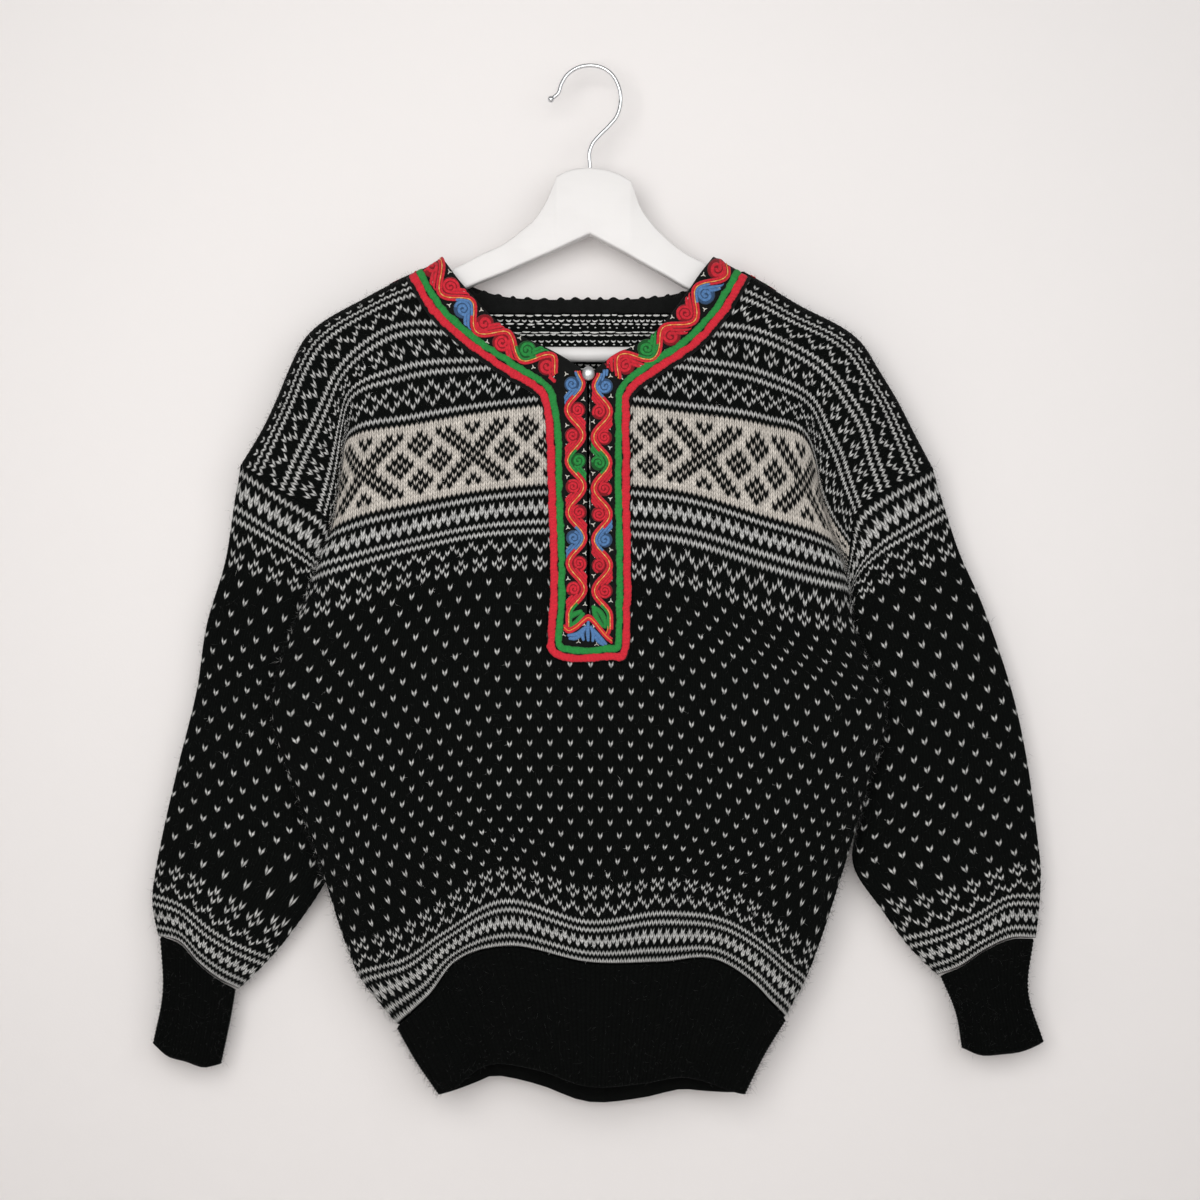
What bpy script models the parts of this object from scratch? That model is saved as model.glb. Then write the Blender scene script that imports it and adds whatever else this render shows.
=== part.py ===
"""Black and white stranded pullover hanging on a white wooden hanger.

Frame: metres, +Z up, +X to the viewer's right, the front of the pullover
faces -Y.  The origin is the point under the top of the hook where the hook
rests on its peg.

Outlines are drawn on a board, 1.2 board units to a millimetre, columns to
the right and rows down.  The board stands in the plane y = 0.  A point in
front of it is drawn where the sight line from EYE through the point meets
the board, so `seen(column, row, depth)` gives the point back in millimetres.

The knitted walls are charted by wale w (counted from the centre front, or
round the sleeve) and by row v (counted down from the shoulder, or from the
armhole).  Tables hold a line per key row and a column per station, and a
smooth curve runs through them both ways.
"""
import math

import bpy
import numpy as np

# ---------------------------------------------------------------- sizes (mm)
UNIT = 1.2                       # board units to a millimetre
MOUNT = (590.0, 66.5)            # board point of the origin
EYE = (8.333, -1500.0, -444.58)  # where the board is looked at from

KNIT = 2.6                       # thickness of the knitted wall
FELT = 2.0                       # thickness of the felt bands
FACING = 1.4                     # thickness of the felt facing
SEAM = 0.3                       # gap between neighbouring pieces
ARM_SEAM = 0.35                  # the same round the armholes
SEAM_SHIFT = 0.7                 # board units the back's side edge stands in
LIFT = 0.8                       # gap under what lies on a curved panel
RIB_RAISE = 1.1                  # height of a knitted rib over its groove
CORD = 2.6                       # height of the wool edgings
CORD_GAP = 0.45                  # gap under the edgings
SIDE_WALE = 70.0                 # wale of the side seam
UNDERARM_ROW = 54.0              # row where the side seam starts
BODY_ROWS = 157.0                # rows from the shoulder to the rib
SLEEVE_ROWS = 102.0              # rows from the armhole to the cuff
SLIT_HALF = 1.3                  # half the width of the neck slit, in mm
HOOK_WIRE = 3.6                  # diameter of the hook wire
BAR_RADIUS = 6.3                 # trouser bar
BUTTON = 5.2                     # radius of the throat button
BUTTON_FLAT = 0.72               # its depth over its width
BUTTON_SUNK = 0.5                # how far it sits down between the band's halves

# ------------------------------------------------- tables of the front panel
STATIONS = (0, 20, 36, 48, 53, 58, 64, 70)      # wales from the centre

# row: board (column, row) at every station, left half
LEFT_ROWS = {
    0.0: ((588, 240), (460, 256), (366, 297), (304, 339), (290, 366),
          (278, 395), (262, 429), (241, 464)),
    5.0: ((588, 264), (465, 274), (371, 309), (315, 348), (301, 373),
          (290, 401), (275, 434), (256, 474)),
    12.5: ((588, 310), (473, 321), (384, 333), (336, 376), (324, 402),
           (312, 428), (297, 459), (283, 492)),
    22.0: ((588, 358), (491, 365), (405, 375), (348, 400), (341, 426),
           (337, 453), (331, 484), (323, 515)),
    32.0: ((588, 403), (489, 411), (412, 424), (356, 434), (346, 443),
           (344, 470), (339, 503), (331, 533)),
    40.0: ((588, 441), (490, 449), (413, 462), (354, 474), (341, 483),
           (341, 505), (340, 530), (337, 556)),
    49.0: ((588, 484), (490, 490), (413, 504), (352, 519), (333, 529),
           (334, 543), (339, 562), (343, 586)),
    54.0: ((588, 509), (489, 514), (412, 529), (350, 544), (326, 552),
           (322, 561), (331, 575), (347, 600)),
    65.5: ((588, 567), (487, 564), (411, 579), (351, 599), (325, 608),
           (301, 612), (309, 620), (336, 632)),
    85.0: ((588, 653), (484, 655), (400, 671), (337, 690), (309, 698),
           (275, 705), (284, 709), (310, 716)),
    105.0: ((588, 741), (487, 744), (409, 761), (351, 779), (327, 787),
            (300, 795), (305, 799), (322, 804)),
    125.0: ((588, 829), (488, 826), (413, 847), (362, 869), (345, 876),
            (328, 883), (331, 887), (344, 891)),
    139.5: ((588, 893), (500, 873), (438, 909), (393, 936), (372, 942),
            (350, 948), (352, 952), (364, 955)),
    148.5: ((588, 930), (502, 910), (444, 940), (404, 968), (385, 974),
            (365, 980), (366, 984), (376, 988)),
    157.0: ((588, 962), (507, 946), (455, 962), (428, 996), (414, 1009),
            (399, 1022), (400, 1025), (408, 1029)),
}

# the same for the right half, which hangs a little differently
RIGHT_ROWS = {
    0.0: ((588, 240), (716, 260), (798, 304), (863, 344), (880, 371),
          (897, 399), (914, 432), (932, 466)),
    5.0: ((588, 264), (707, 277), (789, 317), (852, 353), (869, 379),
          (885, 406), (900, 439), (915, 475)),
    12.5: ((588, 310), (686, 320), (774, 338), (833, 375), (850, 398),
           (865, 422), (875, 456), (887, 489)),
    22.0: ((588, 358), (687, 365), (766, 381), (814, 408), (825, 432),
           (836, 455), (846, 483), (857, 512)),
    32.0: ((588, 403), (687, 412), (764, 424), (807, 441), (815, 462),
           (819, 488), (831, 518), (850, 546)),
    40.0: ((588, 441), (687, 451), (764, 469), (811, 485), (820, 497),
           (824, 513), (833, 535), (848, 564)),
    49.0: ((588, 484), (687, 493), (763, 516), (818, 533), (832, 541),
           (836, 551), (839, 565), (842, 585)),
    54.0: ((588, 509), (687, 517), (763, 540), (817, 556), (836, 562),
           (843, 568), (842, 580), (834, 600)),
    65.5: ((588, 567), (684, 580), (757, 604), (811, 620), (833, 624),
           (853, 626), (848, 631), (832, 637)),
    85.0: ((588, 653), (690, 660), (774, 680), (835, 696), (861, 702),
           (884, 706), (876, 711), (852, 717)),
    105.0: ((588, 741), (688, 748), (768, 768), (825, 784), (846, 789),
            (864, 793), (858, 797), (841, 803)),
    125.0: ((588, 829), (684, 832), (758, 850), (808, 864), (825, 869),
            (841, 873), (836, 877), (822, 882)),
    139.5: ((588, 893), (672, 884), (737, 898), (780, 928), (797, 941),
            (814, 953), (811, 957), (800, 961)),
    148.5: ((588, 930), (667, 922), (728, 930), (770, 957), (785, 971),
            (801, 984), (798, 988), (788, 992)),
    157.0: ((588, 962), (660, 962), (717, 960), (757, 986), (770, 1000),
            (784, 1014), (782, 1018), (773, 1022)),
}

# row: how far the outside stands in front of the board (mm) at the stations
FRONT_DEPTH = {
    0.0: (14, 14, 14, 13, 12, 11, 10, 9),
    5.0: (15, 15, 15, 14, 13, 12, 11.5, 10.5),
    12.5: (18, 18, 18, 17, 16, 15, 14, 12.5),
    22.0: (23, 23, 23, 21, 18, 16, 14, 11.5),
    32.0: (28, 28, 28, 25.5, 19, 14, 11.5, 8),
    40.0: (31, 31, 30, 27.5, 20, 13.5, 10.5, 6),
    49.0: (34, 33, 32, 29, 21.5, 13.5, 9, 5),
    54.0: (35, 34, 32.5, 29.5, 24, 15.5, 9, 4.5),
    65.5: (36, 35, 33, 29.5, 25, 15, 9, 6.5),
    85.0: (37, 36, 33, 28.5, 24, 14, 8.5, 6.5),
    105.0: (38, 37, 33, 28, 24, 14, 8, 5.5),
    125.0: (40, 39, 34, 28, 24, 13.5, 7, 4.5),
    139.5: (44, 42, 35, 28, 23, 13, 6.5, 4.0),
    148.5: (46, 43, 35, 29, 24, 14, 6.5, 4.0),
    157.0: (44, 38, 29, 26, 23, 15, 7.5, 4.0),
}

# -------------------------------------------------- tables of the back panel
BACK_STATIONS = (0, 20, 36, 48, 58, 64, 70)
BACK_DEPTH = {                   # how far the outside stands behind the board
    0.0: (11, 11, 11, 11, 10, 10, 9),
    5.0: (12, 12, 12, 12, 11.5, 11, 10.5),
    12.5: (13, 13, 13, 13, 13, 13, 12.5),
    22.0: (14, 14, 14, 14, 14.5, 15, 14.5),
    32.0: (14, 14, 14, 13.5, 13, 13, 12.5),
    40.0: (14, 14, 13, 11, 9.5, 9, 8),
    49.0: (14, 14, 12, 8, 4, 2.5, 1.5),
    54.0: (14, 14, 12, 6, 0, -2.5, -4.5),
    65.5: (14, 14, 12, 5, -2, -4.8, -6.5),
    85.0: (14, 14, 12, 5, -2, -4.8, -6.5),
    105.0: (14, 14, 12, 5, -1, -3.8, -5.5),
    125.0: (14, 14, 12, 5, -0.5, -2.8, -4.5),
    148.5: (16, 15, 12, 6, 0, -2, -4.0),
    157.0: (14, 13, 10, 5, 0, -2.5, -4.0),
}

# --------------------------------------------------------- the neck and slit
# wale and row of the cut edge of the knitting under the neck band
NECK_FRONT = ((0.0, 26.2), (4.7, 23.8), (8.0, 21.6), (17.0, 16.4),
              (21.5, 9.5), (25.0, 0.0))
NECK_BACK = ((0.0, 11.6), (8.0, 11.3), (14.0, 10.3), (19.0, 8.4),
             (22.0, 5.0), (25.0, 0.0))
SLIT_END = 79.0                  # row where the slit ends
FACING_TOP = ((0, 10.7), (8, 10.5), (14, 9.6), (19, 8.0), (22, 5.0))
FACING_LOW = 16.0                # row of the facing's lower edge
FACING_HALF = 20.4               # wales to either side of the centre
FACING_STEPS = 25
FACING_WAVE = 0.35               # rows its upper edge waves
BACK_BAND = ((25.0, 0.0, 31.8, 0.0), (22.6, 3.6, 29.6, 6.4), (20.0, 6.8, 25.6, 12.2),
             (15.0, 9.2, 18.4, 17.6), (8.0, 10.4, 9.6, 20.2), (0.0, 10.7, 0.0, 20.8))
BACK_BAND_WIDE = 46.0            # board units across the band on the back

# board points along the outer edge of the neck band and its inner edge;
# the two rows of points are opposite each other
BAND_OUTER = ((407, 280), (420, 303), (433, 321), (455, 342), (477, 359),
              (495, 371), (512, 382), (528, 391), (539, 400), (545, 420),
              (547, 450), (548, 500), (550, 550), (550, 600), (548, 649),
              (566, 661), (589, 662), (610, 660), (628, 656), (631, 600),
              (631, 550), (630, 500), (630, 450), (630, 410), (636, 394),
              (650, 383), (666, 372), (682, 362), (704, 345), (726, 320),
              (738, 301), (750, 280))
BAND_INNER = ((445, 262), (458, 279), (471, 294), (486, 311), (504, 327),
              (522, 337), (540, 345), (556, 353), (571, 362), (583, 372),
              (587, 390), (587, 440), (587, 500), (587, 560), (587, 622),
              (587.6, 628), (588.6, 630), (589.6, 628), (590.2, 622),
              (590.2, 560), (590.2, 500), (590.2, 440), (590.2, 390),
              (594, 372), (605, 362), (617, 354), (632, 347), (650, 337),
              (671, 314), (688, 291), (699, 275), (712, 259))

# name: distance of the cord's middle in from the band's outer edge, width
EDGINGS = {"edging_red": (7.0, 7.4), "edging_green": (15.0, 7.0)}

# ------------------------------------------------------------ hem rib tables
# height fraction: board points at the stations, then depth at the stations
HEM_LEFT = {
    0.5: ((588, 1026), (522, 1008), (474, 1014), (447, 1038), (434, 1049),
          (418, 1059), (419, 1061), (426, 1063)),
    1.0: ((588, 1087), (535, 1070), (490, 1065), (466, 1079), (455, 1089),
          (441, 1094), (442, 1094), (448, 1092)),
}
HEM_RIGHT = {
    0.5: ((588, 1026), (652, 1020), (702, 1016), (737, 1037), (750, 1046),
          (763, 1053), (761, 1055), (754, 1057)),
    1.0: ((588, 1087), (643, 1084), (686, 1078), (717, 1086), (730, 1091),
          (743, 1094), (741, 1094), (734, 1092)),
}
HEM_DEPTH = {
    0.0: (40, 34, 25, 22.5, 20, 12.5, 7, 4.5),
    0.5: (42, 31, 20, 22, 21, 14, 8, 5),
    1.0: (44, 27, 15, 21, 22, 15, 9, 5.5),
}
HEM_TOP_DROP = (0.9, 3.0, 1.4)   # gap over the hem at front, sides and back
HEM_BACK_DROP = 14.0             # board units the back hem hangs lower
HEM_BACK_DEPTH = (13, 12, 9, 4.5, -0.5, -3, -4.8)
HEM_RIBS = 52                    # ribs on the front, and again on the back

# ------------------------------------------------------------- sleeve tables
# row from the armhole: five board points from the outer edge (left) to the
# edge beside the body, depth of the middle behind the board, half depth
SLEEVE_LEFT = {
    8.0: ((233, 509), (268, 531), (300, 551), (325, 576), (341, 616), 6.0, 11.0),
    16.5: ((226, 556), (262, 571), (297, 585), (326, 601), (345, 631), 8.5, 11.5),
    30.0: ((207, 622), (242, 637), (277, 652), (311, 665), (340, 682), 9.5, 12.0),
    46.0: ((196, 692), (231, 705), (266, 717), (299, 729), (330, 741), 10.5, 12.0),
    61.0: ((179, 761), (218, 775), (257, 789), (295, 801), (328, 813), 10.5, 12.5),
    77.0: ((163, 830), (205, 845), (248, 861), (290, 873), (326, 882), 10.0, 13.0),
    84.5: ((156, 866), (191, 881), (226, 904), (260, 922), (292, 932), 9.5, 13.0),
    93.0: ((152, 901), (180, 911), (208, 935), (238, 952), (266, 963), 8.5, 12.5),
    102.0: ((158, 936), (180, 942), (198, 962), (218, 978), (239, 989), 7.5, 11.5),
}
SLEEVE_RIGHT = {
    8.0: ((945, 508), (912, 527), (880, 547), (857, 573), (843, 617), 6.0, 11.0),
    16.5: ((958, 548), (920, 564), (883, 580), (854, 600), (837, 632), 8.5, 11.5),
    30.0: ((983, 605), (943, 622), (902, 640), (867, 656), (838, 676), 9.5, 12.0),
    46.0: ((1012, 690), (972, 702), (930, 717), (892, 730), (856, 742), 10.5, 12.0),
    61.0: ((1027, 758), (984, 772), (939, 787), (897, 801), (858, 812), 10.5, 12.5),
    77.0: ((1037, 830), (994, 842), (948, 856), (900, 867), (856, 874), 10.0, 13.0),
    84.5: ((1041, 866), (1003, 873), (965, 890), (922, 902), (880, 908), 9.5, 13.0),
    93.0: ((1040, 902), (1008, 903), (975, 922), (942, 936), (907, 945), 8.5, 12.5),
    102.0: ((1036, 938), (1011, 938), (984, 950), (960, 966), (937, 975), 7.5, 11.5),
}
# height fraction of the cuff: five board points, middle depth, half depth
CUFF_LEFT = {
    0.0: ((160, 937), (179.5, 945), (197, 964), (216.5, 979.4), (236, 989.2), 7.5, 9.5),
    0.4: ((163, 985), (179, 992), (196, 1003), (213, 1011), (231, 1018), 7.0, 9.0),
    1.0: ((153, 1044), (168, 1056), (186, 1061), (204, 1067), (221, 1064), 6.0, 9.5),
}
CUFF_RIGHT = {
    0.0: ((1034, 939), (1011, 940.2), (984.6, 952), (961.4, 967.6), (940, 976), 7.5, 9.5),
    0.4: ((1028, 985), (1010, 990), (992, 997), (972, 1002), (954, 1008), 7.0, 9.0),
    1.0: ((1044, 1042), (1022, 1051), (1000, 1054), (980, 1055), (962, 1048), 6.0, 9.5),
}
CUFF_RIBS = 26

# ------------------------------------------------------------- hanger tables
# board column: top row, bottom row, half thickness in mm
WOOD = ((324, 331, 362, 4.2), (327, 327, 365, 5.0), (342, 319, 364, 5.0),
        (342.7, 318.6, 342, 5.0), (366, 307, 331, 5.0), (412, 290, 311, 5.0),
        (440, 280, 299, 4.6), (449, 272, 295, 5.2), (462, 265.5, 289, 5.5), (480, 256, 281, 5.8),
        (505, 244, 270.5, 6.0), (521, 232, 263.5, 6.2), (538, 216, 256, 6.4),
        (548, 199, 251.5, 6.6), (553, 186, 249.5, 6.8), (556, 178, 248, 7.0),
        (568, 171, 243, 7.0), (590, 169, 233, 7.0), (612, 171, 243, 7.0),
        (629, 178, 250, 7.0), (633, 189, 251.5, 6.8), (639, 206, 254.5, 6.6),
        (649, 221, 258.5, 6.4), (666, 237, 266, 6.2), (687, 254, 275, 5.8),
        (710, 266.5, 286, 5.5), (722, 275, 293, 4.8), (738, 284, 300, 4.8),
        (760, 294, 310.5, 5.0), (798, 313, 330, 5.0), (822.3, 325.6, 342, 5.0),
        (823, 326, 364, 5.0), (838, 334, 365, 5.0), (841, 338, 362, 4.2))
BAR_ROW = 354.5
BAR_COLUMNS = (343.4, 821.6)
BUTTON_AT = (588.4, 374.0)       # on the neck band
HOOK_PATH = ((550.5, 98.5), (556, 94), (560, 88), (563, 80), (569.5, 73),
             (578, 67.6), (590, 65.4), (601, 67.2), (611, 73.5),
             (618, 84.8), (620.6, 96.4), (620, 106), (616.8, 116),
             (609, 126), (599, 136), (593, 143), (590, 150), (590, 168.4))
HOOK_BALL = 2.9                  # radius of the ball at the hook's tip
HOOK_POINTS = 30


# ------------------------------------------------------------------- curves
def hermite(knots, values, at):
    """Smooth curve through values at the knots, slopes from the neighbours."""
    knots = np.asarray(knots, float)
    values = np.asarray(values, float)
    at = np.asarray(at, float)
    step = np.diff(knots)
    shape = (-1,) + (1,) * (values.ndim - 1)
    rise = np.diff(values, axis=0) / step.reshape(shape)
    slope = np.empty_like(values)
    slope[0], slope[-1] = rise[0], rise[-1]
    before, after = step[:-1].reshape(shape), step[1:].reshape(shape)
    slope[1:-1] = (rise[:-1] * after + rise[1:] * before) / (before + after)
    i = np.clip(np.searchsorted(knots, at, side="right") - 1, 0, len(step) - 1)
    h = step[i].reshape(shape)
    t = ((at - knots[i]) / step[i]).reshape(shape)
    return ((1 + 2 * t) * (1 - t) ** 2 * values[i] + t * (1 - t) ** 2 * h * slope[i]
            + t * t * (3 - 2 * t) * values[i + 1] + t * t * (t - 1) * h * slope[i + 1])


def weights(knots, at):
    """How much each knot counts at each place, as a matrix."""
    return hermite(knots, np.eye(len(knots)), at)


def seen(board, depth):
    """Board points and depths behind the board (mm) to points in metres."""
    board = np.asarray(board, float)
    depth = np.asarray(depth, float)
    flat_x = (board[..., 0] - MOUNT[0]) / UNIT
    flat_z = (MOUNT[1] - board[..., 1]) / UNIT
    near = (depth - EYE[1]) / -EYE[1]
    return np.stack([EYE[0] + (flat_x - EYE[0]) * near, depth,
                     EYE[2] + (flat_z - EYE[2]) * near], -1) / 1000.0


def over_the_shoulder(v):
    """The wall turns over the shoulder along a quarter round of six rows."""
    t = np.clip(np.asarray(v, float) / 6.0, 0.0, 1.0)
    return np.sqrt(1.0 - (1.0 - t) ** 2)


# ----------------------------------------------------- surfaces of the panels
SIGNED = [-s for s in STATIONS[:0:-1]] + list(STATIONS)
FRONT_KEYS = sorted(LEFT_ROWS)
FRONT_BOARD = np.array([list(LEFT_ROWS[k][:0:-1]) + list(RIGHT_ROWS[k])
                        for k in FRONT_KEYS], float)
FRONT_OUT = np.array([list(FRONT_DEPTH[k][:0:-1]) + list(FRONT_DEPTH[k])
                      for k in FRONT_KEYS], float)
BACK_SIGNED = [-s for s in BACK_STATIONS[:0:-1]] + list(BACK_STATIONS)
BACK_KEYS = sorted(BACK_DEPTH)
BACK_OUT = np.array([list(BACK_DEPTH[k][:0:-1]) + list(BACK_DEPTH[k])
                     for k in BACK_KEYS], float)


def front_board(w, v):
    """Board points of wales w and rows v of the front."""
    across, down = weights(SIGNED, w), weights(FRONT_KEYS, v)
    return np.einsum("nr,ns,rsk->nk", down, across, FRONT_BOARD)


def front(w, v):
    """Outside of the front panel."""
    w, v = np.asarray(w, float), np.asarray(v, float)
    across, down = weights(SIGNED, w), weights(FRONT_KEYS, v)
    out = np.einsum("nr,ns,rs->n", down, across, FRONT_OUT)
    return seen(front_board(w, v), -out * over_the_shoulder(v) - SEAM / 2)


def back(w, v):
    """Outside of the back panel: the shoulders follow the front, below the
    armholes the panel runs straight from the centre to the side seams."""
    w, v = np.asarray(w, float), np.asarray(v, float)
    board = front_board(w, v)
    side = np.sign(w)
    low = front_board(side * 36.0, v)
    seam = front_board(side * SIDE_WALE, v)
    t = np.clip((np.abs(w) - 36.0) / 34.0, 0.0, 1.0)[:, None]
    straight = low + (seam - low) * t
    blend = np.clip((v - 12.0) / 42.0, 0.0, 1.0)[:, None]
    blend = np.where(np.abs(w)[:, None] > 36.0, blend * blend * (3 - 2 * blend), 0.0)
    board = board + (straight - board) * blend
    out = np.einsum("nr,ns,rs->n", weights(BACK_KEYS, v),
                    weights(BACK_SIGNED, w), BACK_OUT)
    inward = np.clip((v - 40.0) / 14.0, 0.0, 1.0) * np.clip((np.abs(w) - 66) / 4, 0, 1)
    board[:, 0] -= side * inward * SEAM_SHIFT
    return seen(board, out * over_the_shoulder(v) + SEAM / 2)


def locate(board):
    """Wale and row of board points that lie on the front."""
    board = np.asarray(board, float)
    gw, gv = [a.ravel() for a in np.meshgrid(np.arange(-44, 45.0, 2), np.arange(0, 96.0, 2))]
    net = front_board(gw, gv)
    near = np.argmin(((board[:, None] - net[None]) ** 2).sum(-1), 1)
    w, v = gw[near], gv[near]
    for _ in range(12):
        here = front_board(w, v)
        dw = (front_board(w + 0.01, v) - here) / 0.01
        dv = (front_board(w, v + 0.01) - here) / 0.01
        miss = board - here
        det = dw[:, 0] * dv[:, 1] - dw[:, 1] * dv[:, 0]
        w = w + (miss[:, 0] * dv[:, 1] - miss[:, 1] * dv[:, 0]) / det
        v = v + (dw[:, 0] * miss[:, 1] - dw[:, 1] * miss[:, 0]) / det
    return w, np.maximum(v, 0.0)


def outward(surface, w, v):
    """Unit normals of a panel, pointing out of the pullover; straight up
    where the panels meet along the shoulder."""
    e = 0.05
    v = np.asarray(v, float)
    dw = surface(w + e, v) - surface(w - e, v)
    dv = surface(w, v + e) - surface(w, np.maximum(v - e, 0.004))
    n = np.cross(dw, dv) * (1.0 if surface is back else -1.0)
    n[v <= 0.0, 1] = 0.0
    return n / np.linalg.norm(n, axis=1)[:, None]


def facing(surface, w, v):
    """Outward normals of a panel; along the side seam both panels share one."""
    n = outward(surface, w, v)
    shared = (np.abs(w) >= SIDE_WALE) & (v >= UNDERARM_ROW)
    n[shared] = (outward(front, w, v) + outward(back, w, v))[shared]
    return n / np.linalg.norm(n, axis=1)[:, None]


def round_sleeve(table, turns, u):
    """Outside of a sleeve at rows u; turns 0..1 run from the outer edge over
    the front to the edge at the body, 1..2 return over the back."""
    keys = sorted(table)
    turns, u = np.asarray(turns, float), np.asarray(u, float)
    phi = np.where(turns > 1.0, 2.0 - turns, turns)
    face = np.where(turns > 1.0, 1.0, -1.0)
    board = np.array([[p[:2] for p in table[k][:5]] for k in keys], float)
    mid = np.array([table[k][5] for k in keys], float)
    half = np.array([table[k][6] for k in keys], float)
    down = weights(keys, np.maximum(u, keys[0]))
    along = weights((0.0, 0.25, 0.5, 0.75, 1.0), phi)
    pts = np.einsum("nr,ns,rsk->nk", down, along, board)
    bulge = np.sin(np.pi * np.clip(phi, 0, 1)) ** 0.55
    depth = down @ mid + face * (down @ half) * bulge
    return seen(pts, depth)


ARMHOLE_ROWS = (0.0, 11.5, 22.0, 38.0, UNDERARM_ROW)
ARMHOLE_TURNS = (0.0, 0.25, 0.5, 0.75, 1.0)


def armhole(side, turns):
    """The armhole edge of the body, the way its panels face there and the
    way the edge runs."""
    turns = np.asarray(turns, float)
    phi = np.where(turns > 1.0, 2.0 - turns, turns)
    v = hermite(ARMHOLE_TURNS, ARMHOLE_ROWS, phi)
    w = np.full(len(v), side * SIDE_WALE)
    behind = (turns > 1.0)[:, None]
    edge = np.where(behind, back(w, v), front(w, v))
    normal = np.where(behind, facing(back, w, v), facing(front, w, v))
    low, high = np.maximum(v - 0.1, 0.0), v + 0.1
    run = np.where(behind, back(w, high) - back(w, low), front(w, high) - front(w, low))
    return edge, normal, run / np.linalg.norm(run, axis=1)[:, None]


def turns_of_rows(rows):
    """Turns that meet the armhole at the given rows, found by halving."""
    low, high = np.zeros(len(rows)), np.ones(len(rows))
    for _ in range(40):
        mid = (low + high) / 2
        under = hermite(ARMHOLE_TURNS, ARMHOLE_ROWS, mid) < np.asarray(rows, float)
        low, high = np.where(under, mid, low), np.where(under, high, mid)
    return (low + high) / 2


# ------------------------------------------------------------ mesh builders
def clear_scene():
    """Empty the scene of objects and collections."""
    for obj in list(bpy.data.objects):
        bpy.data.objects.remove(obj, do_unlink=True)
    for group in list(bpy.data.collections):
        bpy.data.collections.remove(group)


def volume(points, faces):
    """Signed volume of a closed mesh: positive when its faces look out."""
    total = 0.0
    for f in faces:
        a = points[f[0]]
        for i in range(1, len(f) - 1):
            total += float(np.dot(a, np.cross(points[f[i]], points[f[i + 1]])))
    return total / 6.0


def dress(obj, name, look):
    """Name an object, give it its own material and put it in the group."""
    obj.name = obj.data.name = name
    for group in list(obj.users_collection):
        group.objects.unlink(obj)
    bpy.data.collections[GROUP].objects.link(obj)
    colour, roughness, metallic = (*look[:3], 1.0), look[3], look[4]
    material = bpy.data.materials.new(name)
    material.use_nodes = True
    shader = material.node_tree.nodes["Principled BSDF"]
    shader.inputs["Base Color"].default_value = colour
    shader.inputs["Roughness"].default_value = roughness
    shader.inputs["Metallic"].default_value = metallic
    material.diffuse_color = colour
    obj.data.materials.append(material)
    return obj


def closed_mesh(name, points, faces, look, smooth=True):
    """Object from a closed loft, its faces turned out."""
    points = np.asarray(points, float)
    if volume(points, faces) < 0.0:
        faces = [tuple(f)[::-1] for f in faces]
    mesh = bpy.data.meshes.new(name)
    mesh.from_pydata([tuple(p) for p in points], [], [tuple(f) for f in faces])
    if smooth:
        mesh.shade_smooth()
    return dress(bpy.data.objects.new(name, mesh), name, look)


def wall(name, outer, inner, quads, look):
    """Closed wall from outside points, inside points and the quads between
    them; every free edge of the quads gets a rim."""
    count = len(outer)
    edges = {}
    for q in quads:
        for a, b in zip(q, q[1:] + q[:1]):
            edges[(a, b)] = edges.get((a, b), 0) + 1
    faces = [tuple(q) for q in quads]
    faces += [tuple(i + count for i in reversed(q)) for q in quads]
    faces += [(b, a, a + count, b + count) for a, b in edges if (b, a) not in edges]
    return closed_mesh(name, np.concatenate([outer, inner]), faces, look)


def grid_quads(rows, columns, closed=False):
    """Corner numbers of a grid's quads; closed joins its last column to its
    first."""
    span = columns if closed else columns - 1
    return [[r * columns + c, (r + 1) * columns + c,
             (r + 1) * columns + (c + 1) % columns, r * columns + (c + 1) % columns]
            for r in range(rows - 1) for c in range(span)]


GROUP = "nordic_sweater"
# red, green, blue, roughness, metallic
WOOL = (0.012, 0.014, 0.015, 0.95, 0.0)
FELT_BLACK = (0.01, 0.01, 0.01, 0.95, 0.0)
RED = (0.62, 0.02, 0.04, 0.9, 0.0)
GREEN = (0.02, 0.30, 0.07, 0.9, 0.0)
PEWTER = (0.55, 0.56, 0.57, 0.35, 1.0)
STEEL = (0.62, 0.63, 0.65, 0.28, 1.0)
PAINT = (0.86, 0.86, 0.85, 0.45, 0.0)


# ------------------------------------------------------------------- pieces
def split_grid(wales, neck, slit_end=None):
    """Grid of wales and rows under a neck edge; with a slit the centre
    column is doubled down to the slit's end."""
    columns = []
    for w in wales:
        top = float(np.interp(abs(w), *np.transpose(neck)))
        columns.append([top + (BODY_ROWS - top) * r / BODY_ROWS for r in ROWS])
    ws, vs, quads = [], [], []
    index = {}
    for c, w in enumerate(wales):
        for r, v in enumerate(columns[c]):
            index[c, r, 0] = len(ws)
            ws.append(w)
            vs.append(v)
            if slit_end is not None and w == 0 and v < slit_end:
                index[c, r, 1] = len(ws)
                ws.append(w)
                vs.append(v)
    for c in range(len(wales) - 1):
        right = 1 if wales[c] >= 0 else 0
        for r in range(len(ROWS) - 1):
            corners = ((c, r), (c, r + 1), (c + 1, r + 1), (c + 1, r))
            quads.append([index.get((*k, right), index[(*k, 0)]) for k in corners])
    doubled = [i for k, i in index.items() if k[2] == 1]
    single = [index[k[0], k[1], 0] for k in index if k[2] == 1]
    return np.array(ws, float), np.array(vs, float), quads, single, doubled


ROWS = (0, 1, 2.3, 4, 6.5, 11, 17, 24, 31, 38, 43, 48, 54, 60, 67, 75, 85, 95,
        106, 117, 128, 138, 148, 153, 157)
HALF_WALES = (0, 4, 8, 12, 16.5, 21, 23.5, 25, 30, 36, 42, 46, 49, 51.5, 54, 56.5,
              58, 60, 62.5, 66, 70)


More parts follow.
